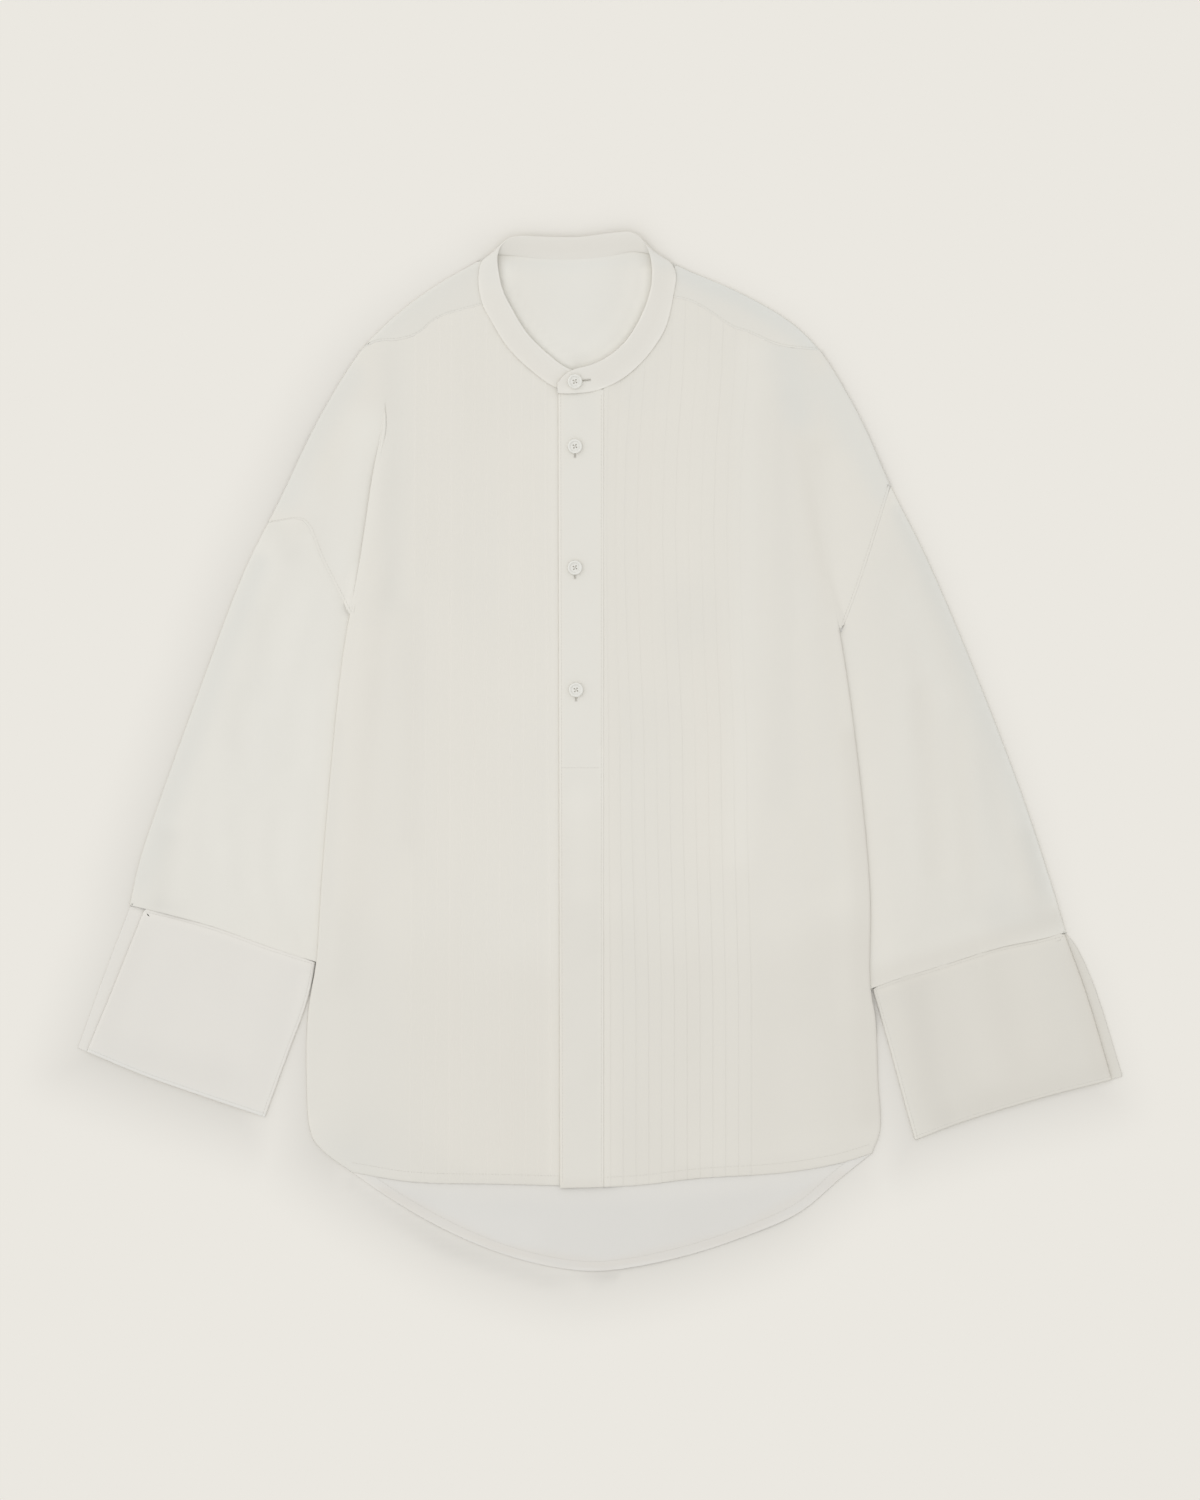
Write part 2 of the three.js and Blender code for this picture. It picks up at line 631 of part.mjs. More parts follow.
function backPanel() {
  const outline = [
    ...flap(RIGHT, BACK_YOKE_SEAM - GAP), ...RIGHT.armhole, ...sideSeam(RIGHT), ...lowerSide(RIGHT),
    ...lineThrough(TAIL).slice(1, -1),
    ...reversed(lowerSide(LEFT)), ...reversed(sideSeam(LEFT)), ...reversed(LEFT.armhole),
    ...reversed(flap(LEFT, BACK_YOKE_SEAM - GAP)),
  ];
  const tail = lineThrough(TAIL).filter(({ x }) => x > TAIL_HEM.from && x < TAIL_HEM.to);
  const inner = tail.map(({ x, y }) => {
    const fromEnd = Math.min(x - TAIL_HEM.from, TAIL_HEM.to - x);
    const width = TAIL_HEM.width * smoothstep(fromEnd, 0, TAIL_HEM.taper) + SHORTEST;
    return { x: x * TAIL_HEM.inset, y: y + width };
  });
  const hem = prism([...tail, ...reversed(inner)], CLOTH / 2, CLOTH + TAIL_HEM.height);
  return clothWall(outline, backUpper, backLower).add(hem);
}

// The front of one half: from the yoke seam and the shoulder flap down to the hem
function frontPanel(side, hem) {
  const outline = [
    ...reversed(shifted(side.yokeSeam, 0, -GAP)),
    ...flap(side, side.yokeEnd - GAP).slice(1),
    ...side.armhole, ...sideSeam(side), ...lowerSide(side),
    ...(side === RIGHT ? lineThrough(hem) : reversed(lineThrough(hem))),
    ...reversed(side.neck).slice(0, -1),
  ];
  const plainTop = (x, y) => upperTop(x, y) + placketRamp(side, x);
  const tuckColumns = (y) => tuckEdges(side, y).flatMap((edge) => [edge, edge + side.out * TUCK_FOOT]);
  const innermost = (y) => tuckEdges(side, y)[0] - side.out * TUCK_INNER_SLOPE;
  const centre = side === RIGHT ? RIGHT_CENTRE_COLUMNS : LEFT_CENTRE_COLUMNS;
  const upper = reliefBlock({
    rows: bodyRows,
    columnsAt: (y) => [...halfColumns(side, y).slice(0, -1), ...tuckColumns(y), innermost(y), ...centre],
    heightAt: (x, y) => plainTop(x, y) + TUCK_DEPTH * tuckRelief(side, x, y),
  });
  const lower = reliefBlock({
    rows: bodyRows, columnsAt: bodyColumns, heightAt: (x, y) => plainTop(x, y) - CLOTH,
  });
  return clothWall(outline, upper, lower);
}

// The left front climbs to meet the placket's edge
function placketRamp(side, x) {
  return side === LEFT ? 1 - smoothstep(x, PLACKET.right, PLACKET.right + PLACKET_RAMP) : 0;
}

// A line moved sideways, towards its left when the distance is positive
function moved(line, distance) {
  return line.map(({ x, y }, i) => {
    const before = line[Math.max(i - 1, 0)];
    const after = line[Math.min(i + 1, line.length - 1)];
    const length = Math.hypot(after.x - before.x, after.y - before.y);
    return {
      x: x - ((after.y - before.y) / length) * distance,
      y: y + ((after.x - before.x) / length) * distance,
    };
  });
}

// Yoke: one cloth that lies under the collar, folds over the shoulders and ends at the front seams
function yoke() {
  const shoulder = (side, lowest) => stretch(side.contour, side.neckSide.at(-1).y, lowest);
  const back = prism([
    ...shoulder(RIGHT, BACK_YOKE_SEAM), ...reversed(shoulder(LEFT, BACK_YOKE_SEAM)),
    ...reversed(lineThrough(BACK_NECK)).slice(1, -1),
  ], 0, CLOTH);
  const net = { rows: YOKE_ROWS, columnsAt: () => [...YOKE_COLUMNS] };
  const upper = reliefBlock({ ...net, heightAt: upperTop });
  const lower = reliefBlock({ ...net, heightAt: (x, y) => upperTop(x, y) - CLOTH });
  let solid = back;
  for (const side of [RIGHT, LEFT]) {
    const fold = shoulder(side, side.yokeEnd);
    const outline = [...fold, ...side.yokeSeam.slice(1), ...side.neckSide.slice(1)];
    const wall = prism([...fold, ...reversed(moved(fold, -side.out * CLOTH))], CLOTH / 2)
      .intersect(prism(outline)).intersect(upper);
    solid = solid.add(clothWall(outline, upper, lower)).add(wall);
  }
  return solid;
}

// How a sleeve's hollow and its relief reach past its outline
const SLEEVE_CUT = { opening: 3, tuckFrom: 1, tuckTo: 25, belowUnderarm: 3, overFold: 4, overBody: 14 };

// Sleeve: a flattened tube between its outer fold and its inner fold, which is tucked under the body
function sleeve(side) {
  const { opening, tuckFrom, tuckTo, belowUnderarm, overFold, overBody } = SLEEVE_CUT;
  const sleeveTop = (x, y) => Math.max(FOLD_HEIGHT, tubeTop(side, x, y) + creaseHeight(x, y));
  const lowest = side.cuffSeam.at(-1).y;
  const tucked = stretch(side.edge, side.underarm - belowUnderarm, lowest).map(({ x, y }) => {
    const depth = SLEEVE_TUCKED * (1 - smoothstep(y, side.underarm - tuckTo, side.underarm - tuckFrom));
    return { x: x - side.out * depth, y };
  });
  const outerFold = stretch(side.contour, side.armholeTop - GAP, side.cuffSeam[0].y + 2 * GAP);
  const outline = [
    ...shifted(side.armhole, side.out * GAP, -GAP), ...tucked.slice(0, -1),
    ...reversed(side.cuffSeam), ...reversed(outerFold).slice(0, -1),
  ];
  const inner = [
    ...shifted(side.armhole, -side.out * opening, opening), ...moved(tucked, side.out * CLOTH).slice(0, -1),
    ...shifted(reversed(side.cuffSeam), 0, -opening).slice(2),
    ...reversed(moved(outerFold, -side.out * CLOTH)).slice(1, -1),
  ];
  const columnsAt = (y) => {
    const fold = xAt(side.contour, y);
    const edge = xAt(side.edge, y);
    const between = SLEEVE_SHARES.map((share) => lerp(fold, edge, share));
    return [fold + overFold * side.out, ...between, edge - overBody * side.out];
  };
  const net = { rows: SLEEVE_ROWS, columnsAt };
  const whole = prism(outline, 0).intersect(reliefBlock({ ...net, heightAt: sleeveTop }));
  const hollow = prism(inner).intersect(reliefBlock({
    ...net, heightAt: (x, y) => sleeveTop(x, y) - CLOTH, floor: CLOTH,
  }));
  return whole.subtract(hollow);
}

// How a cuff's outline meets its corners, and how far its hollow reaches past it
const CUFF_CUT = { seamGap: GAP + 0.05, corner: 1.5, over: 12, farX: 460, farBottom: -340, farTop: -90 };

// Cuff: two doubled layers that meet in the inner fold and stand open along the outer edge
function cuff(side) {
  const { seamGap, corner, over, farX, farBottom, farTop } = CUFF_CUT;
  const cuffTop = (x, y) => (
    2 * DOUBLED + GAP + CUFF_BULGE * bulge(distanceTo(side.cuffInner, x, y), BULGE_REACH)
  );
  const outlineWith = (outer) => {
    const nearest = side.out * side.cuffInner[0].x + corner;
    const furthest = side.out * outer.at(-1).x - corner;
    const seam = shifted(side.cuffSeam, 0, -seamGap).filter(({ x }) => (
      side.out * x > nearest && side.out * x < furthest
    ));
    const edge = outer === side.cuffOuter ? outer.slice(1) : outer;
    return [...seam, ...side.cuffInner, ...side.cuffHem.slice(1), ...edge];
  };
  const fold = moved(side.cuffInner, side.out * DOUBLED);
  const inner = [
    { x: fold[0].x, y: fold[0].y + over }, ...fold, { x: fold.at(-1).x, y: fold.at(-1).y - over },
    { x: side.out * farX, y: farBottom }, { x: side.out * farX, y: farTop },
  ];
  const columnsAt = (y) => {
    const far = xAt(reversed(side.cuffUnderOuter), y);
    return CUFF_SHARES.map((share) => lerp(far, xAt(side.cuffInner, y), share));
  };
  const net = { rows: CUFF_ROWS, columnsAt };
  const whole = prism(outlineWith(side.cuffOuter), 0).intersect(reliefBlock({ ...net, heightAt: cuffTop }));
  const hollow = prism(inner).intersect(reliefBlock({
    ...net, heightAt: (x, y) => cuffTop(x, y) - DOUBLED, floor: DOUBLED,
  }));
  return whole.subtract(hollow).add(prism(outlineWith(side.cuffUnderOuter), 0, DOUBLED));
}

// Top of the placket, swollen over the buttons under its fly
function placketTop(x, y) {
  const swell = FLY_BUTTONS.reduce((height, button) => {
    const distance = Math.hypot(x - button.x, y - button.y);
    return height + FLY_SWELL.height * (1 - smoothstep(distance, FLY_SWELL.flat, FLY_SWELL.reach));
  }, 0);
  return upperTop(x, y) + GAP + DOUBLED + swell;
}

function placket() {
  const { left, right, top, bottom, lean, slant, over } = PLACKET;
  const { flat, reach } = FLY_SWELL;
  const around = [-reach, -(flat + reach) / 2, -flat, flat, (flat + reach) / 2, reach];
  const swollenRows = FLY_BUTTONS.flatMap((button) => around.map((step) => button.y + step));
  const net = {
    rows: ascending([...PLACKET_ROWS, ...swollenRows]),
    columnsAt: () => [left - over, right + over, ...around.map((step) => step + FLY_BUTTONS[1].x)],
  };
  const upper = reliefBlock({ ...net, heightAt: placketTop });
  const lower = reliefBlock({ ...net, heightAt: (x, y) => placketTop(x, y) - DOUBLED });
  const outline = [
    { x: left, y: top }, { x: left + lean, y: bottom },
    { x: right, y: bottom + slant }, { x: right, y: top + lean },
  ];
  return clothWall(outline, upper, lower);
}

// Collar band: one strip round the neck, its button end under the other end at the centre front
function collarBand() {
  const lineOf = (point) => new THREE.CatmullRomCurve3(BAND_SECTIONS.map(point), false, 'centripetal');
  const foot = lineOf(({ x, y, z }) => new THREE.Vector3(x, y, z));
  const top = lineOf(({ topX, topY, topZ }) => new THREE.Vector3(topX, topY, topZ));
  const strip = new THREE.BoxGeometry(1, 1, 1, BAND_PIECES, 1, 1);
  const position = strip.attributes.position;
  const up = new THREE.Vector3();
  const out = new THREE.Vector3();
  for (let i = 0; i < position.count; i += 1) {
    const along = position.getX(i) + 0.5;
    const from = foot.getPoint(along);
    const to = top.getPoint(along);
    up.subVectors(to, from);
    out.crossVectors(foot.getTangent(along).add(top.getTangent(along)), up).setLength(BAND_CLOTH);
    from.lerp(to, position.getY(i) + 0.5).addScaledVector(out, position.getZ(i));
    position.setXYZ(i, from.x, from.y, from.z);
  }
  return solidOf(strip);
}

// Round body from a profile of radius and height
function turned(profile, sides) {
  const points = profile.map(([radius, height]) => new THREE.Vector2(radius, height));
  return solidOf(new THREE.LatheGeometry(points, sides).rotateX(Math.PI / 2));
}

// Four-hole button with a raised rim
function shirtButton() {
  const { radius, foot, rim, thick, dish, holeRadius, holeSpread, holeSides, sides } = BUTTON;
  let body = turned([
    [0, 0], [foot, 0], [radius, thick / 2], [radius - rim / 2, thick], [radius - rim, thick],
    [radius - 2 * rim, thick - dish], [0, thick - dish],
  ], sides);
  for (const [sideways, upwards] of [[-1, -1], [1, -1], [1, 1], [-1, 1]]) {
    const hole = new THREE.CylinderGeometry(holeRadius, holeRadius, 3 * thick, holeSides);
    hole.rotateX(Math.PI / 2);
    hole.translate((sideways * holeSpread) / 2, (upwards * holeSpread) / 2, 0);
    body = body.subtract(solidOf(hole));
  }
  return body;
}

const shirt = new THREE.Group();
const addCloth = (name, solid) => shirt.add(meshOf(name, solid, MATERIALS.cloth));

addCloth('back_panel', backPanel());
addCloth('yoke', yoke());
addCloth('front_right', frontPanel(RIGHT, FRONT_HEM_RIGHT));
addCloth('front_left', frontPanel(LEFT, FRONT_HEM_LEFT));
addCloth('sleeve_right', sleeve(RIGHT));
addCloth('sleeve_left', sleeve(LEFT));
addCloth('cuff_right', cuff(RIGHT));
addCloth('cuff_left', cuff(LEFT));
addCloth('placket', placket());
addCloth('collar_band', collarBand());

for (const { name, x, y } of BUTTONS) {
  const mesh = meshOf(name, shirtButton(), MATERIALS.button);
  const onCollar = name === 'button_collar';
  mesh.position.set(x, y, onCollar ? COLLAR_BUTTON_HEIGHT : placketTop(x, y) + GAP);
  mesh.rotation.x = onCollar ? COLLAR_BUTTON_TILT : 0;
  shirt.add(mesh);
}
for (const { name, x, y } of FLY_BUTTONS) {
  const { radius, thick, sides } = FLY_BUTTON;
  const disc = new THREE.CylinderGeometry(radius, radius, thick, sides);
  const mesh = meshOf(name, solidOf(disc.rotateX(Math.PI / 2)), MATERIALS.button);
  mesh.position.set(x, y, upperTop(x, y) + GAP + thick / 2);
  shirt.add(mesh);
}

export default shirt;
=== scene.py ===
"""Pintucked tuxedo shirt with a standing band collar, laid flat on a pale surface and seen from above.

Right and left are the wearer's. Shapes are worked out in millimetres and written to the meshes in metres.
"""

import logging
import math
from dataclasses import dataclass
from enum import Enum
from typing import Callable, Iterable, Sequence

import bmesh
import bpy
import numpy as np
from mathutils import Matrix, Vector
from mathutils.bvhtree import BVHTree


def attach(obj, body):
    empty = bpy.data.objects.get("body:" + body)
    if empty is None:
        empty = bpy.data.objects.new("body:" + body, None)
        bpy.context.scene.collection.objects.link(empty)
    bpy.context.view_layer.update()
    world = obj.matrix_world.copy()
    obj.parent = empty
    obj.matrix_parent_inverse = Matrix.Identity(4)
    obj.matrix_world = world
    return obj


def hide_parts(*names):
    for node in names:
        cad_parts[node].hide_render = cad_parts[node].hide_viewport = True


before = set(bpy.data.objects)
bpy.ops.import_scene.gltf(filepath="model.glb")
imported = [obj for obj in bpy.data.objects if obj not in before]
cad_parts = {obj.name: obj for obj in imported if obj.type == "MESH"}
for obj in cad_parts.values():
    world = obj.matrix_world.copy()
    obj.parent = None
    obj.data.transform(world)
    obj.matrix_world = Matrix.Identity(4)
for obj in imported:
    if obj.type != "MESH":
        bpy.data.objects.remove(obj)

log = logging.getLogger("tuxedo_shirt")

MM = 0.001
Rows = Sequence[tuple[float, ...]]
Field = Callable[[np.ndarray, np.ndarray], np.ndarray]

# Cloth and the heights at which its layers lie
WALL = 1.0  # wall of the frame's solids, whose tops the visible cloth shares
CLOTH = 0.5
DOUBLED = 0.8
BAND = 1.4
GAP = 0.3
SEAM = -0.3  # between cloths that are sewn together, which overlap
FOLD_HEIGHT = 2 * WALL + GAP
SLEEVE_LIFT = FOLD_HEIGHT + GAP
FOLD_STEP = 6
UNDERLAP, UNDERLAP_STEP = 4.0, 3.0  # cloth that turns back under the fold beside the shoulder flap
SHOULDER_RISE, SHOULDER_REACH = 1.0, 40
CHEST = (140, 300)
SLEEVE_BULGE, CUFF_BULGE, BULGE_REACH = 2.7, 0.9, 35
CUFF_LEVEL = 2 * DOUBLED + GAP
SLEEVE_TUCKED = 10
HEM_CALM = (-345, -280)
TAIL_HEM, TAIL_HEM_RISE = (7.2, 8.4), 0.35  # how far in the turned hem of the tail ends, and its height
TAIL_FREE, TAIL_WAVE = (-384, -350), 0.35  # heights below which the tail lies in shallow waves

# Pintucks
TUCKS = 12
TUCK_DEPTH = 0.34
TUCK_FOOT = 0.5
TUCK_INNER_SLOPE = 4.0

# Placket
PLACKET_LEFT, PLACKET_RIGHT, PLACKET_TOP, PLACKET_BOTTOM = -33.4, 3.0, 288.0, -349.2
PLACKET_WALL = 1.2
PLACKET_RAMP, PLACKET_RISE, PLACKET_UNDER = 16, 1.32, 0.58
SWELL_HEIGHT, SWELL_FLAT, SWELL_REACH = 0.75, 4, 19
SHIRT_BUTTONS = (("button_chest", -20, 243.6), ("button_middle", -20, 146.8), ("button_lower", -19.2, 49.2))
FLY_STITCH, TAIL_STITCH, HEM_STITCH = -13, 7.6, 8
FLY_BUTTONS = ((-12, -45.2), (-12.6, -149.2), (-12.6, -250.8))

# Back of the yoke where the neck shows it, a little puffed up
NECK_LIFT, NECK_MIDDLE = 2.4, ((-18, 372, 62), (-18, 330, 34))

# Rolls along the side of the body: distance in from its edge, height beside the sleeve and height along
# the shoulder fold
ROLL = np.array([
    (0, 0, 2.2), (6, 1.0, 2.7), (12, 1.6, 2.5), (22, 1.4, 1.8), (34, 0.9, 1.0), (60, 0.3, 0.3), (90, 0, 0),
])

# Soft folds that lie across the cloth: points (x, y, width) and the height in their middle
CREASES = (
    (((-240, 178, 10), (-281, 112, 11), (-313, 20, 12), (-336, -118, 13)), 1.3),
    (((-262, 105, 9), (-268, 40, 9)), -1.3), (((-281, 44, 8), (-282, -12, 8)), -1.2),
    (((-240, 41, 9), (-243, -10, 9)), -1.1), (((-286, -55, 9), (-283, -106, 8)), -1.2),
    (((-254, -52, 8), (-258, -98, 8)), -1.0), (((-300, 20, 7), (-306, -60, 8)), 0.8),
    (((-266, -108, 7), (-262, -140, 6)), 0.8), (((-232, 120, 6), (-246, 70, 7)), 0.9),
    (((-224, 158, 4), (-202, 116, 4)), -0.9), (((-230, 168, 4), (-209, 126, 5)), 0.8),
    (((250, 124, 10), (282, 38, 9)), 1.3), (((259, 44, 10), (269, -92, 9)), -1.4),
    (((318, -12, 9), (334, -96, 8)), -1.1), (((296, 20, 7), (306, -70, 8)), 0.9),
    (((242, 100, 7), (246, 10, 8)), 0.8), (((284, -40, 7), (288, -120, 7)), 0.9),
    (((344, -40, 6), (356, -110, 6)), -0.8), (((240, -60, 7), (244, -130, 7)), -0.8),
    (((113, 300, 12), (114, 60, 11)), 1.1), (((140, 268, 10), (146, 40, 10)), -1.1),
    (((164, 88, 11), (184, -90, 10)), 1.0), (((178, 236, 9), (186, 150, 9)), -0.9),
    (((150, -60, 12), (156, -200, 12)), 0.7), (((196, -150, 9), (200, -270, 9)), -0.8),
    (((-163, 316, 8), (-162, 130, 8)), -0.9), (((-186, 60, 8), (-196, -110, 9)), 0.8),
    (((-176, -120, 9), (-180, -250, 10)), -0.8), (((-120, 316, 11), (-110, 262, 9)), 0.5),
    (((-192, -318, 5), (-182, -300, 5)), -0.8), (((242, -170, 3.2), (246, -182, 3)), -0.6),
    (((272, -164, 3), (274, -176, 3)), -0.6), (((300, -152, 3.2), (304, -166, 3)), -0.7),
    (((-236, -158, 3), (-242, -142, 3)), -0.6), (((-350, -124, 3), (-346, -110, 3)), -0.6),
)
CUFF_CREASES = (
    (((241, -186, 3), (244, -196, 2.6)), -0.45), (((270, -177, 3), (272, -188, 2.6)), -0.45),
    (((301, -167, 3), (302, -178, 2.6)), -0.4), (((284, -290, 3), (282, -280, 2.6)), -0.4),
    (((314, -284, 3), (311, -274, 2.6)), -0.4), (((262, -200, 10), (268, -286, 10)), -0.5),
    (((346, -176, 12), (356, -258, 12)), 0.4), (((-330, -160, 12), (-346, -250, 12)), 0.35),
    (((-288, -166, 9), (-300, -262, 9)), -0.35),
)

# Collar band. A row is one section: its foot on the neck seam and its top edge.
BAND_SECTIONS = (
    (0, 288.4, 4, 4, 301, 5), (-16, 288.4, 4, -11, 302.5, 5.1), (-34, 290.2, 4.1, -25, 305.6, 5.4),
    (-52, 301.8, 4.3, -42, 317.8, 5.5), (-73.6, 322.6, 4.3, -58.6, 334.6, 5.7), (-87, 344, 4.2, -70, 353, 6),
    (-94.4, 358.6, 4, -77.4, 368, 6.2), (-97.2, 379, 3.8, -80.8, 382, 6.4),
    (-94, 392.2, 3.2, -81.6, 396, 6.5), (-85, 396.6, 2.4, -77, 406.8, 6.2),
    (-72, 396.4, 1.9, -68, 411.2, 6.2), (-40, 392.6, 1.9, -40, 411, 5.2), (-16, 392, 1.9, -16, 411, 5.2),
    (8, 395.4, 1.9, 10, 414.2, 5.4), (26, 399.4, 2, 26, 414.4, 6.2), (42, 397, 2.5, 34.5, 408, 6),
    (56, 391, 3.1, 39.6, 396.5, 6.4), (60.6, 382, 3.5, 41.6, 383, 6.6), (58.6, 364, 3.8, 39.6, 366, 6.4),
    (52, 337.6, 4.1, 32, 346, 6.2), (36, 313.8, 4, 20, 327, 6.2), (18, 297.8, 4.4, 5, 314.4, 6.6),
    (-2, 288.4, 5.2, -8, 308.4, 7), (-18, 286, 5.9, -19, 305.4, 7.6), (-28, 285.6, 5.9, -27, 301.6, 7.5),
    (-34, 286, 5.9, -34, 294, 7),
)

# Buttons: half of a button's section as (radius, height), from its middle on top round to its middle below
BUTTON_PROFILE = (
    (0, 1.5), (2.7, 1.5), (3.2, 1.42), (3.5, 1.3), (3.75, 1.42), (4.1, 1.95), (4.4, 2.28), (4.8, 2.4),
    (5.2, 2.34), (5.6, 2.05), (5.8, 1.55), (5.78, 1.05), (5.4, 0.45), (4.8, 0.1), (4.4, 0), (0, 0),
)
BUTTON_STEPS = 48
BUTTON_TURN = 0.2
HOLE_SPREAD, HOLE_RADIUS = 1.1, 0.55
HOLE_LEVEL = 1.5
FLY_SQUASH = 0.4
FLY_CLEAR = 0.35  # under a button of the fly
COLLAR_BUTTON = (-20, 295.2, 7.6, 0.085)  # place, height and lean
BUTTONHOLE_ABOVE, BUTTONHOLE_BELOW = 3, 9
COLLAR_BUTTONHOLE = ((-22, 295.4), (-7.4, 296.6))

# Stitches: how far in from its edge each row runs
ARMHOLE_STITCH_IN, ARMHOLE_STITCH_UP = 2, 1.2
CUFF_HEM_STITCH, CUFF_SEAM_STITCH, CUFF_SIDE_STITCH = 3.0, 2.4, 2.6
YOKE_STITCH = 1.8

# Spacing of the cuts that give a cloth its mesh
BODY_STEP, BODY_STEP_QUICK = 5.0, 8.0
SLEEVE_STEP, SLEEVE_STEP_QUICK = 4.0, 6.0
NECK_STEP = 5.0
PLACKET_STEP = 3

# Extra cuts beside the fold at a front's side: distance out from it
FOLD_COLUMNS = (-12, -7, -4, -2, -1, -0.5, 0, 0.75, 1.5, 2.25, 3, 3.7, 4.6, 6, 9, 13)

# Folds between two layers
ON_FOLD = 0.04  # a point nearer than this to a fold belongs to both layers
CORNER_CLEAR = 1.5  # between a cuff's corners and the nearest points of its seam
FOLD_RADIUS, CUFF_FOLD_RADIUS = 1.6, 2.6

# Attribute that holds the painted light and shade: a tone for each point of a piece
PAINTED_LIGHT_ATTRIBUTE = "painted_light_and_shade"  # attribute with the soft changes of tone
SURFACE = (("Base Color", "Color"), ("Roughness", "Float"), ("Normal", "Vector"))

SHADOW_RISE = 40  # distance in from the shirt's outline over which its shadow grows by the same again

# Painted shade on the floor where the tail lifts off the surface, as points (x, y, width)
TAIL_SHADE = ((-196, -346, 7), (-120, -394, 9), (-40, -419, 8), (10, -420, 4))
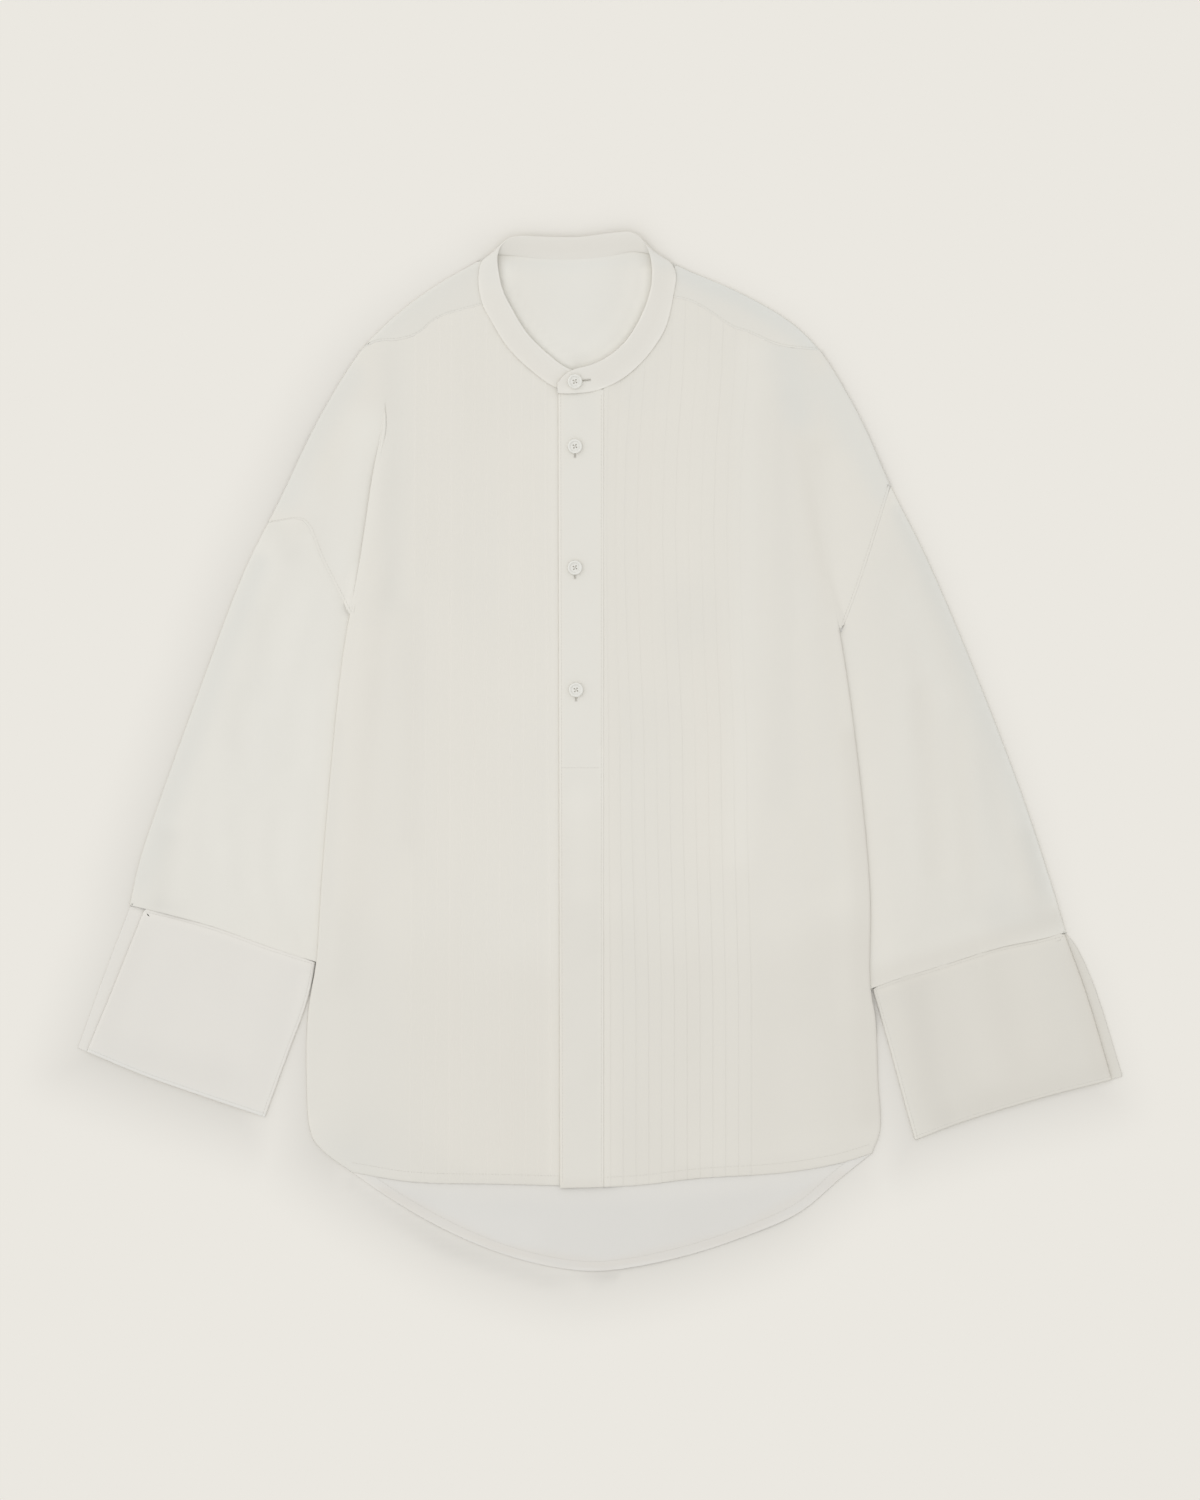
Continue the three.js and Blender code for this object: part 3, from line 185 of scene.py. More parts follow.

# Painted light and shade: soft lighter and darker strokes in the cloth's colour where it turns from or to the
# light, along folds, edges, seams and the collar. Points (x, y, width), then lightness and warmth in levels
LEVELS = 102.0  # levels in a whole step of linear light, near the tone of the cloth
Stroke = tuple[Rows, float, float]
PAINTED_STROKES: dict[str, tuple[Stroke, ...]] = {
    "front_right": (
        (((-190, 321, 1.6), (-224, 268, 1.6), (-256, 201, 1.6), (-265, 183, 1.6)), 0.6, -0.8),
        (((-150, 330, 150), (-140, -330, 150)), -1.3, 1.0),
        (((-188, 258, 15), (-198, 190, 14), (-206, 120, 8)), 3.5, -1.2),
        (((-163, 318, 12), (-162, 230, 11), (-166, 120, 9)), -1.9, -0.8),
        (((-152, 110, 10), (-150, 20, 8), (-152, -70, 7)), -1.6, -0.0),
        (((-186, 90, 12), (-192, 0, 12), (-196, -110, 11)), 1.0, 0.5),
        (((-213, 20, 7), (-219, -90, 7), (-228, -190, 8), (-232, -280, 9)), -2.2, -0.4),
        (((-190, -170, 30), (-180, -300, 34)), -2.4, -0.5),
        (((-120, -200, 40), (-110, -335, 40)), -2.6, 0.7),
        (((-50, -200, 30), (-50, -340, 30)), -3.2, 1.0),
        (((-214, -318, 16), (-190, -330, 14)), -1.1, -1.0),
        (((-100, 300, 28), (-80, 230, 30)), -0.2, 0.4),
        (((-100, 60, 34), (-100, -60, 34)), 0.7, 0.5),
        (((-198, 300, 9), (-222, 262, 9), (-252, 200, 9)), -1.9, -2.4),
        (((-232, 205, 13), (-212, 150, 9)), 0.8, -1.2),
        (((-38.5, 280, 4), (-38, -345, 4)), 1.7, 0.1),
        (((-60, 240, 18), (-56, 60, 18)), 0.7, 0.4),
        (((-140, 300, 12), (-130, 200, 12), (-128, 80, 12)), 0.3, 0.1),
        (((-200, -335, 40), (-100, -346, 8), (0, -348, 8)), -2.6, -0.7),
    ),
    "front_left": (
        (((176, 320, 1.6), (196, 289, 1.6), (213, 257, 1.6), (232, 212, 1.6)), 0.8, -1.4),
        (((140, 330, 150), (130, -330, 150)), -0.8, 0.8),
        (((122, 318, 11), (122, 200, 11), (118, 60, 12), (112, -80, 12)), 2.7, -0.6),
        (((146, 280, 10), (150, 120, 10), (146, -40, 10)), -1.1, -0.5),
        (((172, 240, 9), (176, 130, 9), (182, 10, 12), (178, -100, 12)), -1.2, 0.4),
        (((166, 130, 7), (178, 30, 8), (184, -90, 8)), -0.1, -0.7),
        (((202, 10, 8), (209, -90, 8), (212, -190, 9), (217, -290, 10)), -3.8, 0.6),
        (((190, -160, 24), (196, -290, 26)), -4.7, 0.6),
        (((140, -180, 26), (130, -310, 30)), -3.5, 0.4),
        (((70, -180, 28), (60, -330, 28)), -3.3, 0.6),
        (((20, -150, 20), (20, -340, 20)), -2.7, 0.2),
        (((12, 280, 6), (10, 60, 6), (10, -340, 6)), 1.6, 0.7),
        (((36, 260, 12), (36, 60, 14)), 0.9, 0.8),
        (((70, 300, 20), (70, 160, 22)), 1.6, 0.5),
        (((84, 60, 22), (88, -80, 22)), 1.1, 0.9),
        (((184, 292, 12), (206, 250, 12), (226, 208, 9)), -1.0, -3.1),
        (((196, 225, 14), (204, 170, 12), (196, 120, 8)), 0.9, 0.2),
        (((150, 318, 16), (160, 270, 12)), -2.2, -3.2),
        (((158, 250, 6), (171, 180, 5), (186, 115, 5)), -1.1, 0.4),
        (((199, 40, 4), (211, -60, 4), (215, -120, 4)), -0.3, 0.1),
        (((217, -318, 10), (160, -332, 9), (60, -342, 8)), -2.6, 0.2),
    ),
    "sleeve_right": (
        (((-344, -70, 8), (-352, -122, 8)), -4.0, 0.0),
        (((-262, 182, 8), (-250, 160, 8)), -2.8, 0.1),
        (((-265, 183, 1.6), (-284, 145, 1.6), (-323, 41, 1.6), (-352, -39, 1.6),
          (-376, -122, 1.6)), 0.5, -0.4),
        (((-262, 140, 40), (-290, 0, 48), (-310, -100, 50)), 1.1, -0.9),
        (((-222, 110, 22), (-232, 0, 22), (-238, -110, 20)), 2.0, -0.6),
        (((-272, 150, 7), (-302, 78, 9), (-334, -10, 10), (-366, -100, 10)), -4.4, -1.7),
        (((-214, 60, 5), (-221, -40, 5), (-226, -150, 5)), 1.5, 0.2),
        (((-226, 176, 8), (-206, 132, 7)), 0.8, 0.1),
        (((-250, 176, 6), (-238, 180, 6)), -1.4, 0.6),
        (((-300, -10, 10), (-304, -80, 9)), 1.2, -0.1),
        (((-268, 60, 10), (-272, -20, 10)), -0.3, -0.4),
        (((-372, -120, 9), (-340, -126, 8)), -2.6, -0.4),
    ),
    "sleeve_left": (
        (((222, -181, 8), (290, -160, 8), (366, -133, 7)), -4.7, 1.4),
        (((232, 211, 1.6), (260, 157, 1.6), (296, 73, 1.6), (336, -31, 1.6), (372, -143, 1.6)), 5.2, -1.1),
        (((250, 130, 45), (290, 0, 50), (300, -120, 50)), -1.9, 0.0),
        (((240, 190, 7), (284, 95, 8), (326, -10, 9), (358, -110, 9)), -2.9, -2.5),
        (((214, 110, 8), (222, 20, 9), (228, -80, 9), (230, -160, 9)), 0.2, 0.4),
        (((250, 122, 9), (268, 66, 9), (280, 36, 8)), 0.5, -0.5),
        (((258, 44, 9), (266, -30, 9), (269, -92, 9)), -1.2, 0.8),
        (((240, 60, 9), (244, -60, 10)), 1.0, -0.0),
        (((300, 30, 9), (312, -50, 10), (322, -110, 10)), -0.4, -0.8),
        (((288, 10, 8), (292, -90, 9)), -0.2, 0.6),
        (((340, -70, 9), (350, -120, 9)), -3.9, 0.4),
        (((262, -110, 14), (250, -165, 12)), -0.9, 0.2),
        (((320, -130, 14), (366, -134, 10)), -2.8, -1.1),
        (((226, 190, 9), (212, 140, 7), (200, 100, 6)), 0.4, 0.6),
        (((205, 60, 4), (216, -60, 4), (219, -150, 4)), 0.6, 0.6),
    ),
    "cuff_right": (
        (((-228, -169, 1.1), (-236.6, -207.4, 1.1), (-247, -235, 1.1), (-268, -292, 1.1)), 4.4, -0.5),
        (((-268, -292.4, 1), (-320, -274.8, 1), (-366, -258.6, 1), (-410, -240, 1)), 3.5, 0.1),
        (((-300, -180, 60), (-320, -230, 60)), -0.0, 0.5),
        (((-370, -150, 10), (-392, -220, 10)), -2.0, 0.4),
        (((-340, -170, 12), (-360, -240, 12)), -0.8, -0.0),
        (((-300, -260, 14), (-390, -240, 12)), -2.3, -0.2),
        (((-250, -180, 12), (-270, -270, 12)), -0.8, -0.0),
        (((-236, -180, 3), (-250, -236, 3), (-268, -286, 3)), 1.7, 0.1),
        (((-268, -291, 2), (-320, -273, 2), (-366, -257, 2), (-409, -239, 2)), 0.6, -2.7),
        (((-409, -240, 2), (-388, -187, 2), (-366, -130, 2)), 0.7, 0.5),
        (((-372, -127, 2.5), (-308, -144, 2.5), (-232, -170, 2.5)), 2.5, 0.5),
    ),
    "cuff_left": (
        (((218, -190, 1.1), (231, -235, 1.1), (244, -283, 1.1), (252, -310, 1.1)), 1.8, 0.5),
        (((252, -310.8, 1), (288, -296.8, 1), (352, -277.2, 1), (409, -262.4, 1)), 2.9, -0.3),
        (((409, -262.4, 1), (388.6, -193, 1), (371.4, -146, 1)), 1.3, 0.7),
        (((300, -200, 60), (330, -250, 60)), -2.0, 1.3),
        (((226, -196, 12), (256, -300, 12)), 0.9, 0.3),
        (((250, -185, 10), (270, -295, 10)), -3.3, 0.3),
        (((290, -180, 14), (306, -250, 14)), 2.6, -0.3),
        (((340, -165, 16), (350, -230, 14)), 1.4, 0.1),
        (((380, -165, 9), (402, -250, 9)), -2.7, 0.9),
        (((280, -292, 10), (400, -260, 10)), -2.7, 0.3),
        (((222, -196, 3), (236, -246, 3), (252, -304, 3)), 1.8, -0.6),
        (((252, -309, 2), (288, -295, 2), (352, -275.5, 2), (408, -261, 2)), 2.5, -0.3),
        (((408, -262, 2), (388, -193, 2), (371, -147, 2)), -0.6, 0.7),
        (((371, -148, 2.5), (320, -160, 2.5), (272, -175, 2.5), (208, -197, 2.5)), 2.3, 0.6),
    ),
    "collar_band": (
        (((60.6, 381, 1), (58.6, 364, 1), (52, 337.6, 1), (36, 313.8, 1), (18, 297.8, 1),
          (-2, 288.4, 1)), 5.4, -0.4),
        (((-97.2, 379, 1), (-94, 358.6, 1), (-87, 344, 1), (-73.6, 322.6, 1), (-52, 301.8, 1),
          (-34, 290.2, 1)), 2.9, -0.0),
        (((-81, 390, 1.2), (-80.8, 382, 1.2), (-77.4, 368, 1.2), (-70, 353, 1.2), (-58.6, 334.6, 1.2),
          (-42, 317.8, 1.2), (-25, 305.6, 1.2)), 6.4, -0.7),
        (((39.6, 392, 1.2), (41.6, 383, 1.2), (39.6, 366, 1.2), (32, 346, 1.2), (20, 327, 1.2),
          (5, 314.4, 1.2)), 6.0, 0.8),
        (((-34, 296, 8), (-52, 310, 8), (-68, 330, 8), (-86, 362, 8)), -1.4, 1.3),
        (((50, 380, 8), (46, 352, 8), (28, 320, 8), (0, 300, 8)), -1.7, 1.3),
        (((-70, 402, 8), (-30, 402, 8), (10, 404, 8), (32, 404, 8)), -3.2, 1.5),
        (((-88, 380, 6), (-84, 396, 6)), -1.6, -0.5),
        (((50, 390, 6), (44, 400, 6)), -2.2, -2.0),
        (((58, 378, 2.5), (56, 362, 2.5), (50, 338, 2.5), (35, 316, 2.5), (16, 299, 2.5)), 1.8, 0.4),
        (((-96, 376, 2.5), (-93, 360, 2.5), (-86, 344, 2.5), (-73, 324, 2.5), (-51, 303, 2.5),
          (-34, 291, 2.5)), 0.4, 0.6),
        (((-30, 288, 2.5), (-10, 288, 2.5), (2, 290, 2.5)), 3.8, 0.1),
    ),
    "placket": (
        (((-15, -45, 14), (-15, -108, 14)), 3.2, 0.1),
        (((-15, 290, 30), (-15, -345, 30)), 2.3, -0.6),
        (((-15, -100, 60), (-15, -345, 60)), -4.5, 1.0),
        (((-32.5, 285, 2.2), (-31.5, -345, 2.2)), 1.9, 1.3),
        (((2, 285, 2.5), (2, 0, 2.5)), 0.8, 1.1),
        (((2, 0, 2.5), (2, -345, 2.5)), 2.4, 0.4),
        (((-15, 280, 8), (-12, 270, 8)), -1.2, -0.4),
        (((-31, -346, 4), (2, -346, 4)), -3.2, 0.8),
    ),
    "back_panel": (
        (((-198, -336, 1), (-172, -354.8, 1), (-128, -380.4, 1), (-80, -401.2, 1), (-32, -413.2, 1),
          (4, -415.2, 1), (64, -404.4, 1), (112, -389.2, 1), (160, -368.4, 1), (192, -341.6, 1)), 3.7, 0.9),
        (((-198, -336, 1.6), (-128, -380, 1.6), (-32, -413, 1.6), (64, -404, 1.6), (160, -368, 1.6),
          (217, -321, 1.6)), -0.3, 1.7),
        (((-120, -360, 60), (0, -390, 60), (120, -360, 60)), -0.7, 0.6),
        (((-190, -338, 8), (-100, -350, 8), (0, -352, 8), (100, -346, 8), (200, -330, 8)), 2.2, 1.1),
        (((-172, -351, 4), (-80, -397, 4), (4, -411, 4), (112, -385, 4), (192, -338, 4)), -2.1, 3.0),
        (((-120, -368, 14), (-60, -388, 14)), 2.0, -0.2),
        (((60, -380, 14), (130, -362, 14)), -0.9, 0.4),
    ),
    "yoke": (
        (((62, 388, 1.6), (112, 367, 1.6), (152, 344, 1.6), (176, 320, 1.6)), 1.8, -0.8),
        (((-96, 393, 1.6), (-128, 375, 1.6), (-160, 352, 1.6), (-190, 321, 1.6)), 3.1, -0.4),
        (((-150, 345, 30), (-110, 365, 30)), -0.8, -0.5),
        (((-100, 388, 7), (-160, 348, 7), (-190, 318, 7)), -0.9, -1.1),
        (((120, 350, 30), (80, 370, 30)), -1.3, -0.6),
        (((66, 382, 7), (114, 362, 7), (154, 338, 7), (176, 318, 7)), -2.4, -3.9),
        (((-18, 372, 34), (-18, 340, 24)), 3.9, -2.0),
        # Painted light round the inside of the collar, lifting the shade beside the band
        (((-76, 386, 5), (-76, 368, 5), (-69, 353, 5), (-58, 336, 5), (-43, 319, 5),
          (-26, 307, 5)), 12.1, -1.5),
        (((-12, 307, 4), (3, 315, 4), (18, 328, 4), (29, 346, 4), (37, 366, 4), (39, 384, 4)), 11.6, -0.5),
        (((-74, 389, 4), (-40, 389, 4), (-16, 388, 4), (8, 391, 4), (34, 394, 4)), -0.7, -1.6),
        (((-66, 380, 9), (-58, 352, 9), (-38, 330, 9), (-20, 318, 9)), 2.4, -0.2),
        (((30, 384, 8), (26, 360, 8), (14, 338, 8), (-6, 320, 8)), 4.1, -0.3),
    ),
}


def smoothstep(value: np.ndarray, low: float, high: float) -> np.ndarray:
    """Rises smoothly from 0 at low to 1 at high."""
    share = np.clip((value - low) / (high - low), 0, 1)
    return share * share * (3 - 2 * share)


def bulge(distance: np.ndarray, reach: float) -> np.ndarray:
    """Rises from 0 at an edge and levels out at 1."""
    return 1 - (1 - np.minimum(distance, reach) / reach) ** 2


def rounded(distance: np.ndarray, radius: float) -> np.ndarray:
    """Profile of a round edge: 0 at the edge, 1 at the radius."""
    return np.sqrt(np.clip(1 - (1 - np.clip(distance, 0, radius) / radius) ** 2, 0, 1))


def spread(rows: Rows, x: np.ndarray, y: np.ndarray) -> np.ndarray:
    """Share of a soft stroke at each point.

    Args:
        rows: Points (x, y, half width) along the middle of the stroke.
        x: Places across.
        y: Places along.

    Returns:
        1 in the middle of the stroke, falling to 0 at twice its half width.
    """
    best, near = np.zeros(np.shape(x)), np.full(np.shape(x), 1e9)
    for (ax, ay, aw), (bx, by, bw) in zip(rows[:-1], rows[1:]):
        dx, dy = bx - ax, by - ay
        share = np.clip(((x - ax) * dx + (y - ay) * dy) / (dx * dx + dy * dy), 0, 1)
        away = np.hypot(x - ax - share * dx, y - ay - share * dy)
        best = np.where(away < near, 1 - smoothstep(away / (aw + (bw - aw) * share), 0, 2), best)
        near = np.minimum(near, away)
    return best


def smooth_points(rows: Rows, pieces: int = 4) -> np.ndarray:
    """Centripetal spline through points.

    Args:
        rows: Points of two or three coordinates.
        pieces: Steps from each point to the next.

    Returns:
        The points of the spline, both ends included.
    """
    at = np.array(rows, float)
    at = np.vstack([2 * at[0] - at[1], at, 2 * at[-1] - at[-2]])
    share = (np.arange(pieces) / pieces)[:, None]
    out = []
    for i in range(1, len(at) - 2):
        p0, p1, p2, p3 = at[i - 1:i + 3]
        pairs = ((p0, p1), (p1, p2), (p2, p3))
        d0, d1, d2 = (max(float(np.linalg.norm(b - a)) ** 0.5, 1e-4) for a, b in pairs)
        m1 = ((p1 - p0) / d0 - (p2 - p0) / (d0 + d1) + (p2 - p1) / d1) * d1
        m2 = ((p2 - p1) / d1 - (p3 - p1) / (d1 + d2) + (p3 - p2) / d2) * d1
        squared, cubed = 3 * (p2 - p1) - 2 * m1 - m2, 2 * (p1 - p2) + m1 + m2
        out.append(p1 + m1 * share + squared * share ** 2 + cubed * share ** 3)
    return np.vstack([*out, at[-2]])


class Line:
    """A line across the laid shirt, in millimetres."""

    def __init__(self, points: np.ndarray) -> None:
        """Keeps the points in their order."""
        self.points = np.asarray(points, float)

    @classmethod
    def through(cls, *rows: tuple[float, float]) -> "Line":
        """A smooth line through the points."""
        return cls(smooth_points(rows))

    def x_at(self, y: np.ndarray) -> np.ndarray:
        """x of a falling line at each height, carried on straight past its ends.

        Args:
            y: Heights.

        Returns:
            One x for each height.
        """
        p = self.points
        far = np.vstack([p[0] + (p[0] - p[1]) * 80, p, p[-1] + (p[-1] - p[-2]) * 80])
        return np.interp(-np.asarray(y, float), -far[:, 1], far[:, 0])

    def distance(self, x: np.ndarray, y: np.ndarray) -> np.ndarray:
        """Distance of each point from the line.

        Args:
            x: Places across.
            y: Places along.

        Returns:
            The distances.
        """
        nearest = np.full(np.shape(x), 1e9)
        for (ax, ay), (bx, by) in zip(self.points[:-1], self.points[1:]):
            dx, dy = bx - ax, by - ay
            share = np.clip(((x - ax) * dx + (y - ay) * dy) / max(dx * dx + dy * dy, 1e-9), 0, 1)
            nearest = np.minimum(nearest, np.hypot(x - ax - share * dx, y - ay - share * dy))
        return nearest

    def stretch(self, upper: float, lower: float) -> np.ndarray:
        """The points between two heights, with ends at those heights.

        Args:
            upper: Height of the first point.
            lower: Height of the last point.

        Returns:
            The points.
        """
        y = self.points[:, 1]
        inner = self.points[(y < upper - 0.5) & (y > lower + 0.5)]
        return np.vstack([[self.x_at(upper), upper], inner, [self.x_at(lower), lower]])

    def moved(self, distance: float) -> np.ndarray:
        """The points, moved towards the line's left."""
        return offset(self.points, distance)

    def part(self, start: float, end: float, step: float) -> np.ndarray:
        """Evenly spaced points of the line between two shares of its length.

        Args:
            start: Share of the length at which they begin.
            end: Share at which they stop.
            step: Distance from each to the next.

        Returns:
            The points.
        """
        gone = np.concatenate([[0], np.cumsum(np.linalg.norm(np.diff(self.points, axis=0), axis=1))])
        at = np.arange(start * gone[-1], end * gone[-1], step)
        return np.stack([np.interp(at, gone, self.points[:, i]) for i in range(2)], axis=1)


def within(shape: np.ndarray, x: np.ndarray, y: np.ndarray) -> np.ndarray:
    """Whether each point lies inside a closed outline.

    Args:
        shape: Corners of the outline.
        x: Places across.
        y: Places along.

    Returns:
        True for each point inside.
    """
    odd = np.zeros(np.shape(x), bool)
    for (ax, ay), (bx, by) in zip(shape, np.roll(shape, -1, axis=0)):
        if ay != by:
            crosses = ((ay > y) != (by > y)) & (x < ax + (y - ay) * (bx - ax) / (by - ay))
            odd ^= crosses
    return odd


def offset(points: np.ndarray, distance: float) -> np.ndarray:
    """Points of a line moved towards its left.

    Args:
        points: The line's points in their order.
        distance: How far they move.

    Returns:
        The moved points.
    """
    along = np.gradient(np.asarray(points, float), axis=0)
    along /= np.linalg.norm(along, axis=1, keepdims=True)
    return points + np.stack([-along[:, 1], along[:, 0]], axis=1) * distance


@dataclass(frozen=True)
class Half:
    """One half of the shirt. Lines run downwards, or from the collar outwards."""

    name: str
    out: int
    contour: Line
    edge: Line
    armhole: Line
    yoke_seam: Line
    neck: Line
    neck_side: Line
    cuff_seam: Line
    cuff_inner: Line
    cuff_hem: Line
    cuff_outer: Line
    cuff_under: Line
    front_hem: Line
    tucks: np.ndarray  # rows of height, first fold edge, pitch and drift
    yoke_end: float
    armhole_top: float
    fold_top: float
    underarm: float
    cuff_corner: float
    lift: tuple[float, float, float, float]  # none, full, full to, none to
    pressed: tuple[float, float]  # heights between which the tucks flatten upwards
    crisp: tuple[float, float]  # heights between which the fold beside the shoulder flap fades upwards
    slope: float  # width of the step that is left of it
    roll: float  # share of the full height of the roll beside it

    def inside(self, x: np.ndarray, y: np.ndarray) -> np.ndarray:
        """Distance in from the body's edge, negative on the sleeve."""
        return self.out * (self.edge.x_at(y) - x)

    def tuck_edges(self, y: np.ndarray) -> np.ndarray:
        """Fold edges of the tucks at each height, one row a tuck, from the placket outwards.

        Args:
            y: Heights.

        Returns:
            Where each fold edge lies across.
        """
        rows = self.tucks[::-1]
        first, pitch, drift = (np.interp(y, rows[:, 0], rows[:, i]) for i in (1, 2, 3))
        k = np.arange(TUCKS)[:, None]
        return first + self.out * pitch * k + drift * np.minimum(1, (k + 1) / 3)

    def tuck_depth(self, k: int, y: np.ndarray) -> np.ndarray:
        """Height of one tuck's fold edge, which presses flatter here and there.

        Args:
            k: Number of the tuck, from the placket outwards.
            y: Places along.

        Returns:
            Its height at each place.
        """
        uneven = 0.84 + 0.1 * np.sin(y / 47 + 2.3 * k) + 0.06 * np.sin(y / 19 + 1.1 * k)
        pressed = smoothstep(y, *self.pressed) * (0.45 + 0.2 * math.sin(1.9 * k))
        return TUCK_DEPTH * uneven * (1 - pressed)


RIGHT = Half(
    name="right",
    out=-1,
    contour=Line.through(
        (-77.6, 406.8), (-96, 393.2), (-128, 374.8), (-160, 351.6), (-190.4, 321.2), (-224, 267.6),
        (-256, 201.2), (-284, 145.2), (-323.2, 41.2), (-352, -38.8), (-368, -86.8), (-376, -122.8),
    ),
    edge=Line.through(
        (-160, 440), (-171.2, 281.2), (-182.4, 217.2), (-192, 153.2), (-205.6, 77.2), (-216.8, -30.8),
        (-223.2, -110.8), (-227.2, -170.8), (-233.6, -206.8), (-235, -260), (-231, -306.8), (-221, -320),
        (-198.4, -336.4),
    ),
    armhole=Line.through((-265.6, 182.8), (-237.6, 184.4), (-222.4, 153.2), (-200, 109.2)),
    yoke_seam=Line.through(
        (-190.4, 321.2), (-179.2, 327.2), (-160, 328.8), (-145.6, 333.6), (-130.4, 345.8), (-92, 357.4),
    ),
    neck=Line.through(
        (-92, 357.4), (-84.5, 343), (-72.6, 324.6), (-50.6, 303.4), (-33, 291.6), (-18, 289.4), (0, 289.4),
    ),
    neck_side=Line.through((-92, 357.4), (-95, 371), (-95.4, 384), (-94.6, 391.8)),
    cuff_seam=Line.through((-376.4, -122.8), (-348, -129.4), (-308, -140.4), (-264, -156.4), (-216, -171.6)),
    cuff_inner=Line.through(
        (-227.6, -168.6), (-230.1, -184), (-236.6, -207.4), (-247, -234.8), (-268, -292.4),
    ),
    cuff_hem=Line.through((-268, -292.4), (-320, -274.8), (-366, -258.6), (-410.4, -240)),
    cuff_outer=Line.through((-410.4, -240), (-388.6, -187), (-364.8, -127.2)),
    cuff_under=Line.through((-417.6, -237), (-397, -180), (-375.6, -123.6)),
    front_hem=Line.through((-198.4, -336.4), (-152, -344), (-80, -346), (0, -348)),
    tucks=np.array([(320, -43.6, 9.4, 0), (189, -43.2, 9.5, 0), (-247, -39.2, 10.2, 0)]),
    yoke_end=321.2, armhole_top=182.8, fold_top=281, underarm=109, cuff_corner=-168,
    lift=(160, 125, -175, -205), pressed=(150, 420), crisp=(252, 284), slope=0.6, roll=0.75,
)
LEFT = Half(
    name="left",
    out=1,
    contour=Line.through(
        (29, 413), (44, 399.6), (62, 388.6), (112, 366.8), (152, 343.6), (176, 320.4), (196, 289.2),
        (212.8, 257.2), (232, 213.2), (260, 157.2), (296, 73.2), (336, -30.8), (360, -102.8), (372.4, -144.4),
    ),
    edge=Line.through(
        (150, 440), (157.6, 257.2), (172, 177.2), (188, 113.2), (200, 41.2), (212, -62.8), (216, -118.8),
        (216, -186.8), (220.4, -215), (222.4, -262.8), (224, -302.8), (217.6, -321.2),
    ),
    armhole=Line.through((232, 211.8), (220, 173.2), (205.6, 129.2), (193, 95.6)),
    yoke_seam=Line.through(
        (176, 320.4), (142.4, 324.6), (120, 334.2), (106.4, 338.6), (88, 350.8), (72, 359.6), (56, 363),
    ),
    neck=Line.through(
        (56, 363), (54.4, 352), (49.6, 338.4), (33.8, 314.8), (18.4, 300.6), (3.3, 290.8), (-3, 289.6),
    ),
    neck_side=Line.through((56, 363), (57.8, 372), (59.2, 381), (59.4, 388.8)),
    cuff_seam=Line.through(
        (372.8, -144.6), (352, -150), (320, -156.6), (272, -171.6), (240, -181.2), (206, -193.6),
    ),
    cuff_inner=Line.through((218, -190.2), (231, -234.8), (244, -282.8), (252, -310.8)),
    cuff_hem=Line.through((252, -310.8), (288, -296.8), (352, -277.2), (409.2, -262.4)),
    cuff_outer=Line.through((409.2, -262.4), (388.6, -193), (371.4, -146)),
    cuff_under=Line.through((417.6, -259.6), (396, -190), (380.8, -156), (372.4, -145.4)),
    front_hem=Line.through(
        (-3, -348.4), (32, -346.8), (80, -341.2), (144, -337.2), (190, -329.6), (217.6, -321.2),
    ),
    tucks=np.array([
        (350, 8, 10.24, -1.6), (305, 8, 10.24, -3.2), (241, 8, 10.24, -8.0), (177, 8, 10.24, -9.6),
        (89, 8, 10.24, -7.2), (17, 8, 10.24, -4.0), (-63, 8, 10.24, -3.2), (-191, 8, 10.24, 0),
    ]),
    yoke_end=320.4, armhole_top=211.8, fold_top=257, underarm=95.6, cuff_corner=-190,
    lift=(160, 95, -205, -235), pressed=(-180, 120), crisp=(-60, 250), slope=9, roll=0.3,
)
TAIL = Line.through(
    (-198.4, -336.4), (-172, -354.8), (-128, -380.4), (-80, -401.2), (-32, -413.2), (4, -415.2), (64, -404.4),
    (112, -389.2), (160, -368.4), (192, -341.6), (217.6, -321.2),
)
BACK_YOKE_SEAM = 293
BACK_NECK = Line.through(
    (-96.6, 392.2), (-88, 397.4), (-78, 399.2), (-40, 395), (-20, 394.2), (4, 397), (28, 402), (42, 399),
    (61, 388.8),
)


